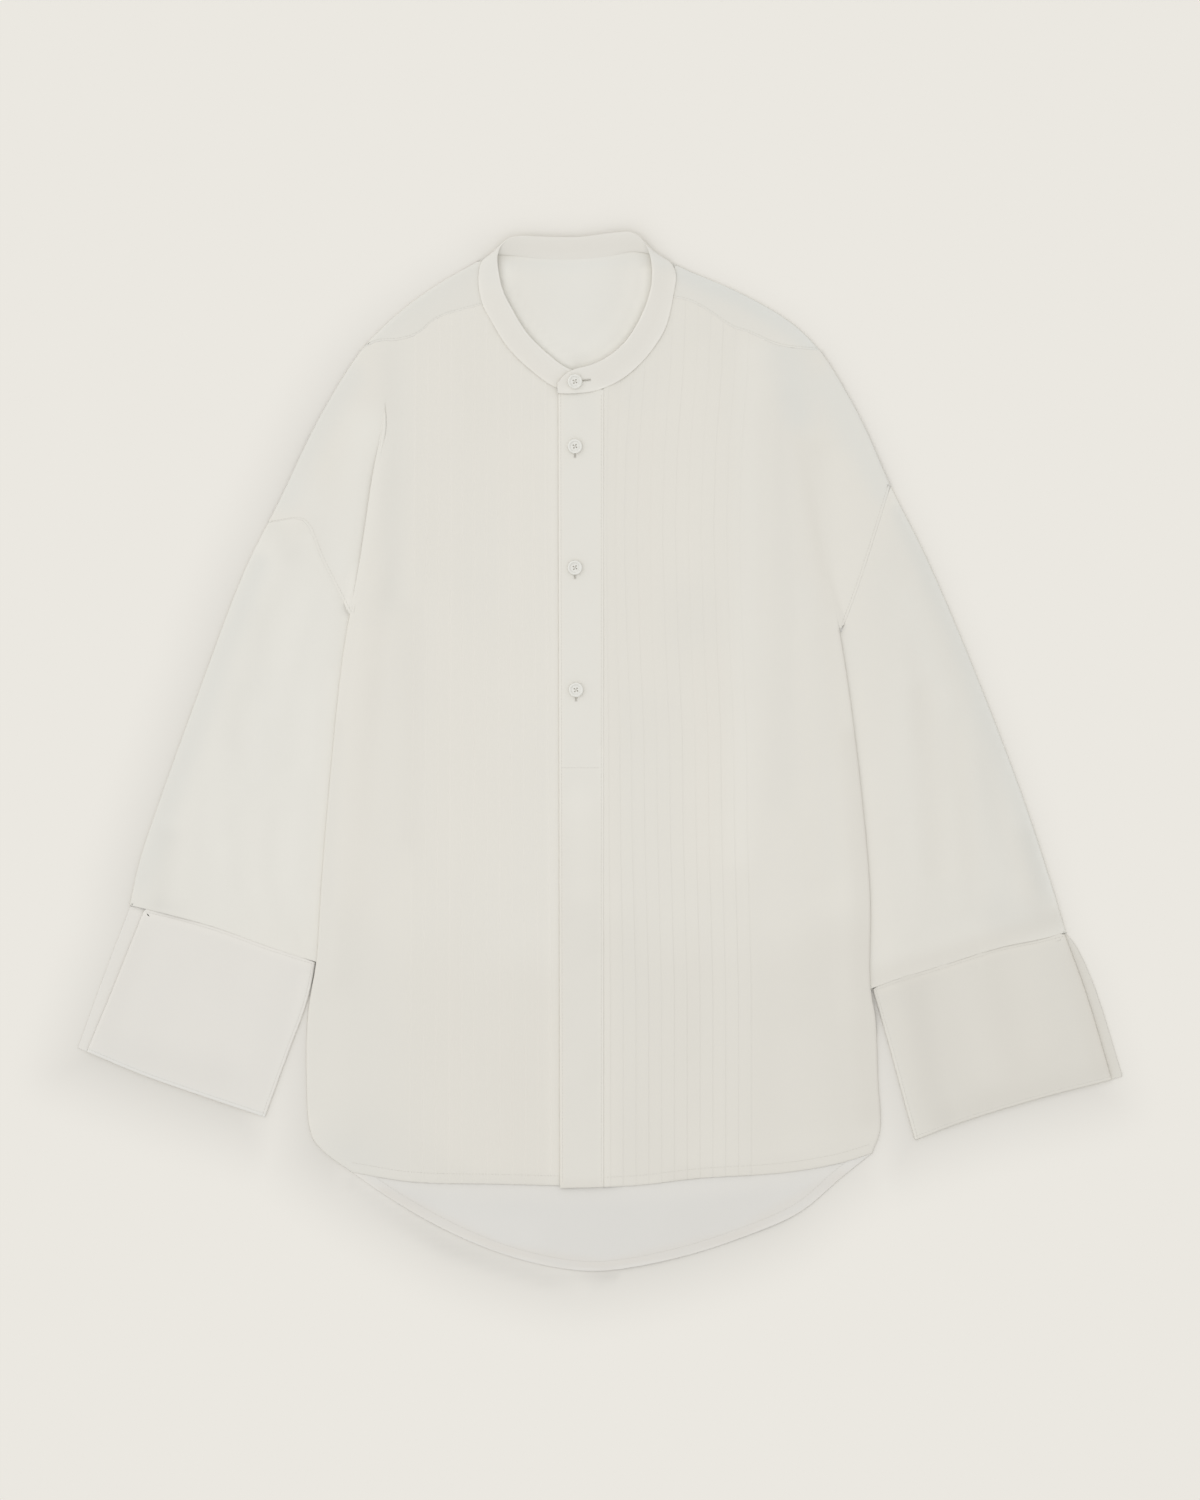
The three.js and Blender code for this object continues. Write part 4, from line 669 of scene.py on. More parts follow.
class Drape:
    """Heights of the laid cloth, the same as those of the frame's solids."""

    @staticmethod
    def by_side(at: Callable[[Half], np.ndarray], x: np.ndarray) -> np.ndarray:
        """Values of the half that each point lies in."""
        return np.where(x < 0, at(RIGHT), at(LEFT))

    @classmethod
    def back(cls, x: np.ndarray, y: np.ndarray) -> np.ndarray:
        """Top of the back panel, lifted where the sleeves are tucked under the sides.

        Args:
            x: Places across.
            y: Places along.

        Returns:
            Heights in millimetres.
        """
        def lifted(half: Half) -> np.ndarray:
            inside = half.inside(x, y)
            none, full, full_to, none_to = half.lift
            across = smoothstep(inside, -2 - FOLD_STEP, -2) * (1 - smoothstep(inside, 12, 36))
            along = (1 - smoothstep(y, full, none)) * smoothstep(y, none_to, full_to)
            return WALL + SLEEVE_LIFT * across * along
        return cls.by_side(lifted, x)

    @staticmethod
    def creases(x: np.ndarray, y: np.ndarray) -> np.ndarray:
        """Soft folds added up."""
        return sum((rise * spread(points, x, y) for points, rise in CREASES), np.zeros(np.shape(x)))

    @classmethod
    def upper(cls, x: np.ndarray, y: np.ndarray, on_body: np.ndarray | float = 1.0) -> np.ndarray:
        """Top of the fronts and of the front of the yoke, without the tucks.

        Args:
            x: Places across.
            y: Places along.
            on_body: 1 on the body and 0 on the shoulder flap beside its fold.

        Returns:
            Heights in millimetres.
        """
        lowest = cls.back(x, y) + GAP + WALL

        def body(half: Half) -> np.ndarray:
            inside = half.inside(x, y)
            from_contour = half.contour.distance(x, y)
            fold = 1 - smoothstep(y, half.fold_top - 70, half.fold_top)
            shoulder = smoothstep(y, half.underarm, half.underarm + 50)
            beside, along = (np.interp(inside, ROLL[:, 0], ROLL[:, i]) for i in (1, 2))
            roll = (beside + (along - beside) * shoulder) * half.roll * fold * smoothstep(y, *HEM_CALM)
            air = SHOULDER_RISE * smoothstep(y, *CHEST) * bulge(from_contour, SHOULDER_REACH)
            laid = lowest + air + roll
            outer = np.maximum(cls.sleeve_tube(half, x, y, from_contour), lowest)
            return laid + (outer - laid) * (1 - on_body) * fold
        return np.maximum(lowest, cls.by_side(body, x) + cls.creases(x, y))

    @staticmethod
    def sleeve_tube(half: Half, x: np.ndarray, y: np.ndarray, from_contour: np.ndarray) -> np.ndarray:
        """Height of a flattened tube between the outer fold and the body's edge.

        Args:
            half: Side of the sleeve.
            x: Places across.
            y: Places along.
            from_contour: Distance in from the outer fold.

        Returns:
            Heights in millimetres.
        """
        share = smoothstep(y, half.cuff_corner + 10, half.cuff_corner + 80)
        full = CUFF_BULGE + (SLEEVE_BULGE - CUFF_BULGE) * share
        from_fold = np.minimum(from_contour, np.maximum(-half.inside(x, y), 0))
        return FOLD_HEIGHT + full * bulge(from_fold, BULGE_REACH)

    @classmethod
    def sleeve(cls, half: Half, x: np.ndarray, y: np.ndarray) -> np.ndarray:
        """Top of a sleeve."""
        tube = cls.sleeve_tube(half, x, y, half.contour.distance(x, y))
        return np.maximum(FOLD_HEIGHT, tube + cls.creases(x, y))

    @staticmethod
    def tucks(half: Half, x: np.ndarray, y: np.ndarray) -> np.ndarray:
        """Relief of the pintucks: a step outwards at each fold edge and a long slope back in.

        Args:
            half: Side of the front.
            x: Places across.
            y: Places along.

        Returns:
            Height above the cloth between the tucks.
        """
        ahead = half.out * (half.tuck_edges(y) - x)
        relief = np.zeros(np.shape(x))
        for k in range(TUCKS):
            slope = np.full(np.shape(x), TUCK_INNER_SLOPE) if k == 0 else ahead[k] - ahead[k - 1] - TUCK_FOOT
            shape = np.clip(np.where(ahead[k] >= 0, 1 - ahead[k] / slope, 1 + ahead[k] / TUCK_FOOT), 0, 1)
            relief = np.maximum(relief, shape * half.tuck_depth(k, y))
        return relief

    @classmethod
    def front(cls, half: Half, x: np.ndarray, y: np.ndarray, on_body: np.ndarray) -> np.ndarray:
        """Top of one front with its tucks. The left one climbs to the placket.

        Args:
            half: Side of the front.
            x: Places across.
            y: Places along.
            on_body: 1 on the body and 0 on the shoulder flap beside its fold.

        Returns:
            Heights in millimetres.
        """
        if half is RIGHT:
            return cls.upper(x, y, on_body) + cls.tucks(half, x, y)
        ramp = PLACKET_RISE * (1 - smoothstep(x, PLACKET_RIGHT, PLACKET_RIGHT + PLACKET_RAMP))
        under = (PLACKET_RISE - PLACKET_UNDER) * (1 - smoothstep(x, PLACKET_RIGHT - 1.2, PLACKET_RIGHT + 0.2))
        return cls.upper(x, y, on_body) + ramp - under + cls.tucks(half, x, y)

    @classmethod
    def placket(cls, x: np.ndarray, y: np.ndarray) -> np.ndarray:
        """Top of the placket, swollen over the buttons under its fly.

        Args:
            x: Places across.
            y: Places along.

        Returns:
            Heights in millimetres.
        """
        top = cls.upper(x, y) + GAP + PLACKET_WALL
        for bx, by in FLY_BUTTONS:
            top = top + SWELL_HEIGHT * (1 - smoothstep(np.hypot(x - bx, y - by), SWELL_FLAT, SWELL_REACH))
        return top

    @staticmethod
    def cuff(half: Half, x: np.ndarray, y: np.ndarray) -> np.ndarray:
        """Top of a cuff."""
        creased = sum((rise * spread(points, x, y) for points, rise in CUFF_CREASES), np.zeros(np.shape(x)))
        return CUFF_LEVEL + CUFF_BULGE * bulge(half.cuff_inner.distance(x, y), BULGE_REACH) + creased


@dataclass(frozen=True)
class Rim:
    """How the cloth turns down towards an edge."""

    line: Line
    drop: float
    radius: float


@dataclass(frozen=True)
class Grid:
    """Spacing of the cuts that give a cloth its mesh."""

    across: float = 5.0
    along: float = 5.0
    rims: tuple[float, ...] = (0.5, 1.2)
    columns: tuple[float, ...] = ()
    rows: tuple[float, ...] = ()


def distinct(points: np.ndarray, shortest: float = 0.25) -> list[tuple[float, float]]:
    """Points of a closed outline without those that lie on the one before.

    Args:
        points: Its points in their order.
        shortest: Distance under which two count as one.

    Returns:
        The points that stay.
    """
    kept: list[tuple[float, float]] = []
    for x, y in points:
        if not kept or math.hypot(x - kept[-1][0], y - kept[-1][1]) > shortest:
            kept.append((float(x), float(y)))
    while math.hypot(kept[0][0] - kept[-1][0], kept[0][1] - kept[-1][1]) < shortest:
        kept.pop()
    return kept


def even_cuts(across: np.ndarray, step: float) -> np.ndarray:
    """Places of the even cuts over an outline's extent along one axis."""
    return np.arange(math.ceil(across.min() / step) * step, across.max(), step)


def add_cut(bm: bmesh.types.BMesh, outline: np.ndarray, level: float, grid: Grid) -> list[bmesh.types.BMVert]:
    """Adds one layer of cloth: its outline as a face, inset along the edge and cut into a fine net.

    Args:
        bm: Mesh that the layer is added to.
        outline: Closed outline in millimetres.
        level: 1 for a layer that faces up and -1 for one that faces down.
        grid: Spacing of the cuts.

    Returns:
        The layer's vertices.
    """
    face = bm.faces.new([bm.verts.new((x, y, level)) for x, y in distinct(outline)])
    face.normal_update()
    if face.normal.z * level < 0:
        bmesh.ops.reverse_faces(bm, faces=[face])
    parts = {face}
    for width in grid.rims:
        ring = bmesh.ops.inset_region(
            bm, faces=[face], thickness=width, use_even_offset=True, use_boundary=True,
        )
        parts.update(ring["faces"])
    x, y = np.asarray(outline).T
    columns = {*grid.columns, *even_cuts(x, grid.across)}
    rows = {*grid.rows, *even_cuts(y, grid.along)}
    geometry = [*parts, *{e for f in parts for e in f.edges}, *{v for f in parts for v in f.verts}]
    for axis, places, low, high in ((0, columns, x.min(), x.max()), (1, rows, y.min(), y.max())):
        normal = Vector((1, 0, 0) if axis == 0 else (0, 1, 0))
        last = -1e9
        for place in sorted(p for p in places if low + 0.05 < p < high - 0.05):
            if place - last < 0.2:
                continue
            last = place
            geometry = bmesh.ops.bisect_plane(
                bm, geom=geometry, dist=1e-4, plane_co=normal * place, plane_no=normal,
            )["geom"]
    return [g for g in geometry if isinstance(g, bmesh.types.BMVert)]


def drop_to(rims: Iterable[Rim], x: np.ndarray, y: np.ndarray) -> np.ndarray:
    """How far the cloth turns down at each point.

    Args:
        rims: Edges at which it turns down.
        x: Places across.
        y: Places along.

    Returns:
        The largest drop that any of the edges gives.
    """
    down = np.zeros(np.shape(x))
    for rim in rims:
        down = np.maximum(down, rim.drop * (1 - rounded(rim.line.distance(x, y), rim.radius)))
    return down


def finish_mesh(name: str, bm: bmesh.types.BMesh, smooth: bool = True) -> bpy.types.Object:
    """Links a mesh as an object at the origin and frees the working mesh.

    Args:
        name: Name of the piece.
        bm: The working mesh.
        smooth: Whether its faces are shaded smooth.

    Returns:
        The object.
    """
    mesh = bpy.data.meshes.new(name)
    bm.to_mesh(mesh)
    bm.free()
    if smooth:
        mesh.shade_smooth()
    piece = bpy.data.objects.new(name, mesh)
    bpy.context.scene.collection.objects.link(piece)
    return piece


def reshape(piece: bpy.types.Object, place: Callable[[np.ndarray], np.ndarray]) -> None:
    """Moves every vertex of a piece at once.

    Args:
        piece: Object whose mesh is moved.
        place: Gives the new corners, in millimetres, for the old ones.
    """
    mesh = piece.data
    at = np.empty(len(mesh.vertices) * 3)
    mesh.vertices.foreach_get("co", at)
    mesh.vertices.foreach_set("co", (place(at.reshape(-1, 3)) * MM).ravel())
    mesh.update()


def thicken(piece: bpy.types.Object, wall: float) -> None:
    """Gives a cloth its wall, inwards from the surface that was laid out."""
    solid = piece.modifiers.new("wall", "SOLIDIFY")
    solid.thickness = wall * MM
    solid.offset = -1
    solid.use_even_offset = False
    solid.use_rim = True


def painted_light_and_shade(piece: bpy.types.Object, strokes: Iterable[Stroke]) -> None:
    """Writes the painted light and shade of a piece, soft changes of its tone, into an attribute.

    Args:
        piece: Object whose mesh gets the attribute.
        strokes: The painted lighter and darker strokes, which add up.
    """
    mesh = piece.data
    at = np.empty(len(mesh.vertices) * 3)
    mesh.vertices.foreach_get("co", at)
    x, y = (at.reshape(-1, 3)[:, :2] / MM).T
    tone = np.ones((len(x), 4))
    for rows, light, warm in strokes:
        reach = spread(rows, x, y)[:, None] / LEVELS
        tone[:, :3] += reach * (light + warm / 2 * np.array([1, 0, -1]))
    layer = mesh.attributes.new(PAINTED_LIGHT_ATTRIBUTE, "FLOAT_COLOR", "POINT")
    layer.data.foreach_set("color", tone.ravel())


class Graph:
    """Adds nodes to a shader tree and links them."""

    def __init__(self, tree: bpy.types.NodeTree) -> None:
        """Keeps the tree."""
        self.tree = tree

    def add(self, kind: str, inputs: dict | None = None, **settings: object) -> bpy.types.Node:
        """Adds a node.

        Args:
            kind: Node type without its ShaderNode prefix, or a full type name.
            inputs: Socket name or number to a value or to another node's output.
            settings: Values of the node's own properties.

        Returns:
            The new node.
        """
        node = self.tree.nodes.new(kind if kind.startswith("Node") else f"ShaderNode{kind}")
        for key, value in settings.items():
            setattr(node, key, value)
        for key, value in (inputs or {}).items():
            if isinstance(value, bpy.types.NodeSocket):
                self.tree.links.new(value, node.inputs[key])
            else:
                node.inputs[key].default_value = value
        return node

    def math(self, operation: str, *values: object) -> bpy.types.NodeSocket:
        """A sum, product or other function of numbers and sockets."""
        return self.add("Math", dict(enumerate(values)), operation=operation).outputs[0]

    def scaled(self, tone: object, shade: bpy.types.NodeSocket) -> bpy.types.NodeSocket:
        """A tone made lighter or darker."""
        return self.add("VectorMath", {0: tone, "Scale": shade}, operation="SCALE").outputs["Vector"]

    def noise(
        self, vector: bpy.types.NodeSocket, scale: float, detail: float = 2, rough: float = 0.5,
    ) -> bpy.types.NodeSocket:
        """Smooth noise over a vector, about 0 to 1."""
        inputs = {"Vector": vector, "Scale": scale, "Detail": detail, "Roughness": rough}
        return self.add("TexNoise", inputs).outputs["Fac"]


def millimetres(graph: Graph, stretch: tuple[float, float, float] = (1, 1, 1)) -> bpy.types.NodeSocket:
    """Place on the object in millimetres, stretched along its axes."""
    place = graph.add("TexCoord").outputs["Object"]
    return graph.add("Mapping", {"Vector": place, "Scale": tuple(s / MM for s in stretch)}).outputs[0]


def new_group(
    name: str, inputs: Iterable[tuple[str, str, object]], outputs: Iterable[tuple[str, str]],
) -> tuple:
    """A shader node group.

    Args:
        name: Name of the group.
        inputs: Name, socket kind and default of each input.
        outputs: Name and socket kind of each output.

    Returns:
        The tree, a graph of it, its input node and its output node.
    """
    tree = bpy.data.node_groups.new(name, "ShaderNodeTree")
    for label, kind, default in inputs:
        socket = tree.interface.new_socket(label, in_out="INPUT", socket_type=f"NodeSocket{kind}")
        socket.default_value = default
    for label, kind in outputs:
        tree.interface.new_socket(label, in_out="OUTPUT", socket_type=f"NodeSocket{kind}")
    graph = Graph(tree)
    return tree, graph, graph.add("NodeGroupInput"), graph.add("NodeGroupOutput")


def weave_group() -> bpy.types.NodeTree:
    """Plain weave: crossing threads, slubs, faint clouds in the colour, slight unevenness and painted light
    and shade.

    Returns:
        The group, with a tone, a pitch and a strength of the threads.
    """
    tree, graph, inside, result = new_group(
        "plain_weave",
        (("Tone", "Color", (0.75, 0.75, 0.68, 1)), ("Pitch", "Float", 0.42), ("Thread", "Float", 0.5)),
        SURFACE,
    )
    place = millimetres(graph)
    axes = graph.add("SeparateXYZ", {0: place}).outputs
    turn = graph.math("DIVIDE", 2 * math.pi, inside.outputs["Pitch"])
    waves = [graph.math("SINE", graph.math("MULTIPLY", axes[i], turn)) for i in (0, 1)]
    weave = graph.math("MULTIPLY", *waves)
    slubs = graph.math(
        "ADD", graph.noise(millimetres(graph, (2.2, 0.09, 1)), 1),
        graph.noise(millimetres(graph, (0.07, 1.8, 1)), 1),
    )
    clouds = graph.noise(place, 0.016, 3, 0.55)
    rub = graph.math("MULTIPLY_ADD", clouds, 0.022, graph.math("MULTIPLY", slubs, 0.012))
    shade = graph.math("ADD", rub, 1 - 0.023)
    # Painted light and shade from the piece's attribute scales the tone
    painted_light = graph.add("Attribute", attribute_name=PAINTED_LIGHT_ATTRIBUTE).outputs["Vector"]
    local = graph.add("VectorMath", {0: inside.outputs["Tone"], 1: painted_light}, operation="MULTIPLY").outputs[0]
    tone = graph.scaled(local, shade)
    relief = graph.math("MULTIPLY_ADD", weave, graph.math("MULTIPLY", inside.outputs["Thread"], 0.035), slubs)
    fine = graph.add("Bump", {"Strength": 0.35, "Distance": 0.03 * MM, "Height": relief})
    uneven = graph.noise(place, 0.045, 2, 0.5)
    soft = graph.add(
        "Bump", {"Strength": 0.5, "Distance": 0.5 * MM, "Height": uneven, "Normal": fine.outputs[0]},
    )
    graph.tree.links.new(tone, result.inputs["Base Color"])
    graph.tree.links.new(graph.math("MULTIPLY_ADD", slubs, 0.06, 0.8), result.inputs["Roughness"])
    graph.tree.links.new(soft.outputs[0], result.inputs["Normal"])
    return tree


def gloss_group() -> bpy.types.NodeTree:
    """Cast button plastic: faint swirls and fine polishing marks.

    Returns:
        The group, with a tone.
    """
    tree, graph, inside, result = new_group(
        "cast_plastic", (("Tone", "Color", (0.6, 0.6, 0.55, 1)),), SURFACE,
    )
    place = millimetres(graph)
    swirl = graph.noise(place, 0.35, 4, 0.6)
    shade = graph.math("MULTIPLY_ADD", swirl, 0.16, 0.92)
    tone = graph.scaled(inside.outputs["Tone"], shade)
    marks = graph.noise(millimetres(graph, (1, 1, 6)), 3.0, 3, 0.6)
    bump = graph.add("Bump", {"Strength": 0.2, "Distance": 0.02 * MM, "Height": marks})
    graph.tree.links.new(tone, result.inputs["Base Color"])
    graph.tree.links.new(graph.math("MULTIPLY_ADD", marks, 0.16, 0.26), result.inputs["Roughness"])
    graph.tree.links.new(bump.outputs[0], result.inputs["Normal"])
    return tree


def thread_group() -> bpy.types.NodeTree:
    """Sewing thread: two twisted plies.

    Returns:
        The group, with a tone.
    """
    tree, graph, inside, result = new_group(
        "twisted_thread", (("Tone", "Color", (0.7, 0.7, 0.62, 1)),), SURFACE,
    )
    axes = graph.add("SeparateXYZ", {0: millimetres(graph)}).outputs
    turned = graph.math("SINE", graph.math("MULTIPLY", graph.math("ADD", axes[0], axes[1]), 14.0))
    shade = graph.math("MULTIPLY_ADD", turned, 0.05, 0.95)
    tone = graph.scaled(inside.outputs["Tone"], shade)
    bump = graph.add("Bump", {"Strength": 0.5, "Distance": 0.04 * MM, "Height": turned})
    graph.tree.links.new(tone, result.inputs["Base Color"])
    graph.tree.links.new(graph.math("MULTIPLY_ADD", turned, 0.04, 0.6), result.inputs["Roughness"])
    graph.tree.links.new(bump.outputs[0], result.inputs["Normal"])
    return tree


class Kind(Enum):
    """Shared surfaces that finishes are made from."""

    WEAVE = "weave"
    GLOSS = "gloss"
    THREAD = "thread"


@dataclass(frozen=True)
class Finish:
    """A surface in one tone. The tone is in linear light."""

    name: str
    kind: Kind
    tone: tuple[float, float, float]


class Finishes:
    """Makes each material once, from the shared node groups."""

    def __init__(self) -> None:
        """Builds the shared groups."""
        self.groups = {Kind.WEAVE: weave_group(), Kind.GLOSS: gloss_group(), Kind.THREAD: thread_group()}
        self.made: dict[Finish, bpy.types.Material] = {}

    def material(self, finish: Finish) -> bpy.types.Material:
        """The material of a finish.

        Args:
            finish: The surface and its tone.

        Returns:
            The material, made once.
        """
        if finish not in self.made:
            material = bpy.data.materials.new(finish.name)
            material.use_nodes = True
            material.node_tree.nodes.clear()
            graph = Graph(material.node_tree)
            shared = graph.add("Group", node_tree=self.groups[finish.kind])
            shared.inputs["Tone"].default_value = (*finish.tone, 1)
            shader = graph.add("BsdfPrincipled", {label: shared.outputs[label] for label, _ in SURFACE})
            graph.add("OutputMaterial", {"Surface": shader.outputs[0]})
            self.made[finish] = material
        return self.made[finish]

    def wear(self, piece: bpy.types.Object, finish: Finish) -> None:
        """Gives a piece one finish."""
        piece.data.materials.clear()
        piece.data.materials.append(self.material(finish))


# The cloth's own tone, with painted shade in the darker copies for the wearer's left pieces and painted light
# in the lighter copies for the right ones
BODY_RIGHT_LIT = Finish("cloth_body_right_lit", Kind.WEAVE, (0.790, 0.768, 0.706))
BODY_LEFT_SHADED = Finish("cloth_body_left_shaded", Kind.WEAVE, (0.772, 0.750, 0.688))
TAIL_INSIDE = Finish("cloth_tail", Kind.WEAVE, (0.728, 0.716, 0.680))
CUFF_RIGHT_LIT = Finish("cloth_cuff_right_lit", Kind.WEAVE, (0.780, 0.758, 0.708))
CUFF_LEFT_SHADED = Finish("cloth_cuff_left_shaded", Kind.WEAVE, (0.722, 0.700, 0.640))
COLLAR = Finish("cloth_collar", Kind.WEAVE, (0.785, 0.765, 0.708))
PLASTIC = Finish("button_plastic", Kind.GLOSS, (0.80, 0.79, 0.74))
THREAD = Finish("sewing_thread", Kind.THREAD, (0.74, 0.72, 0.66))
SHADE = Finish("deep_shade", Kind.THREAD, (0.30, 0.27, 0.21))


def outline_area(outline: np.ndarray) -> float:
    """Area inside a closed outline, in square metres."""
    x, y = np.asarray(outline).T
    return float(abs(np.sum(x * np.roll(y, -1) - y * np.roll(x, -1))) / 2) * MM * MM


@dataclass(frozen=True)
class Cut:
    """What the maker cut for one piece, as far as it shows, in metres."""

    width: float
    length: float
    area: float

    @classmethod
    def of(cls, *outlines: np.ndarray) -> "Cut":
        """The cut of layers that lie flat on each other, as one cloth unfolded sideways.

        Args:
            outlines: Outline of each layer.

        Returns:
            The cut.
        """
        size = np.ptp(outlines[0], axis=0) * MM
        area = sum(outline_area(o) for o in outlines)
        return cls(float(size[0]) * len(outlines), float(size[1]), area)

    @classmethod
    def over_fold(cls, back: np.ndarray, *fronts: np.ndarray) -> "Cut":
        """The cut of a cloth that folds forward over its upper edge.

        Args:
            back: Outline of the layer behind.
            fronts: Outlines of the layers in front.

        Returns:
            The cut.
        """
        size = np.ptp(back, axis=0) * MM
        further = max(float(np.ptp(front[:, 1])) for front in fronts) * MM
        return cls(float(size[0]), float(size[1]) + further, sum(outline_area(o) for o in (back, *fronts)))


class Wardrobe:
    """Puts finished pieces on the frame."""

    def __init__(self, finishes: Finishes) -> None:
        """Keeps the finishes."""
        self.finishes = finishes

    def cloth(
        self, piece: bpy.types.Object, node: str, finish: Finish, cut: Cut, wall: float = CLOTH,
        held: str = "laid", rests_on: Iterable[str] = (),
    ) -> bpy.types.Object:
        """Thickens a cloth, finishes it and lets it stand for its CAD node.

        Args:
            piece: Shell of the cloth.
            node: CAD node that it stands for.
            finish: Its surface.
            cut: What was cut for it. Not used.
            wall: Thickness in millimetres.
            held: How it is held. Not used.
            rests_on: Names of what it lies on. Not used.

        Returns:
            The piece.
        """
        # Paints the light and shade of this piece into its colour
        painted_light_and_shade(piece, PAINTED_STROKES.get(node, ()))
        thicken(piece, wall)
        self.finishes.wear(piece, finish)
        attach(piece, "root")
        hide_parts(node)
        log.info("%s: %d faces", piece.name, len(piece.data.polygons))
        return piece

    def trim(self, piece: bpy.types.Object, finish: Finish, slot: str = "cloth") -> bpy.types.Object:
        """Finishes a small piece that rides on the shirt.

        Args:
            piece: The piece.
            finish: Its surface.
            slot: Looks slot that it belongs to. Not used.

        Returns:
            The piece.
        """
        self.finishes.wear(piece, finish)
        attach(piece, "root")
        log.info("%s: %d faces", piece.name, len(piece.data.polygons))
        return piece


def single_layer(
    name: str, outline: np.ndarray, grid: Grid, top: Field, rims: Sequence[Rim] = (),
) -> bpy.types.Object:
    """One flat cloth laid to a height.

    Args:
        name: Name of the piece.
        outline: Closed outline in millimetres.
        grid: Spacing of its net.
        top: Height of its upper surface.
        rims: Edges at which it turns down.

    Returns:
        The shell.
    """
    bm = bmesh.new()
    add_cut(bm, outline, 0.5, grid)
    piece = finish_mesh(name, bm)

    def lay(at: np.ndarray) -> np.ndarray:
        x, y = at[:, 0], at[:, 1]
        return np.stack([x, y, top(x, y) - drop_to(rims, x, y)], axis=1)

    reshape(piece, lay)
    return piece


def add_folded(
    bm: bmesh.types.BMesh, layers: Iterable[tuple[np.ndarray, float]], folds: Sequence[Line], grid: Grid,
) -> None:
    """Adds layers of one cloth and joins them in their folds.

    Args:
        bm: Mesh that the layers are added to.
        layers: Outline of each layer and its level, 1 facing up or -1 facing down.
        folds: Lines along which the layers are one cloth, which end up at level 0.
        grid: Spacing of their net.
    """
    for outline, level in layers:
        verts = add_cut(bm, outline, level, grid)
        at = np.array([v.co[:2] for v in verts])
        near = np.min([fold.distance(at[:, 0], at[:, 1]) for fold in folds], axis=0) < ON_FOLD
        for vert, folded in zip(verts, near):
            if folded:
                vert.co.z = 0
    bmesh.ops.remove_doubles(bm, verts=[v for v in bm.verts if v.co.z == 0], dist=0.05)


def folded_pair(
    name: str, upper: np.ndarray, lower: np.ndarray, folds: Sequence[Line], grid: Grid, top: Field,
    rims: Sequence[Rim], radius: float,
) -> bpy.types.Object:
    """Two layers of one cloth that meet in their folds.

    Args:
        name: Name of the piece.
        upper: Outline of the layer on top.
        lower: Outline of the layer that lies on the surface.
        folds: Lines along which the two are one cloth.
        grid: Spacing of their net.
        top: Height of the upper layer.
        rims: Edges at which the upper layer turns down.
        radius: Radius of the folds.

    Returns:
        The shell.
    """
    bm = bmesh.new()
    add_folded(bm, ((upper, 1.0), (lower, -1.0)), folds, grid)
    piece = finish_mesh(name, bm)

    def lay(at: np.ndarray) -> np.ndarray:
        x, y, level = at.T
        from_fold = np.min([fold.distance(x, y) for fold in folds], axis=0)
        share = rounded(from_fold, radius)
        high = top(x, y) - drop_to(rims, x, y)
        middle = FOLD_HEIGHT / 2
        z = np.where(level > 0, middle + (high - middle) * share, middle * (1 - share))
        return np.stack([x, y, np.where(level == 0, middle, z)], axis=1)

    reshape(piece, lay)
    return piece


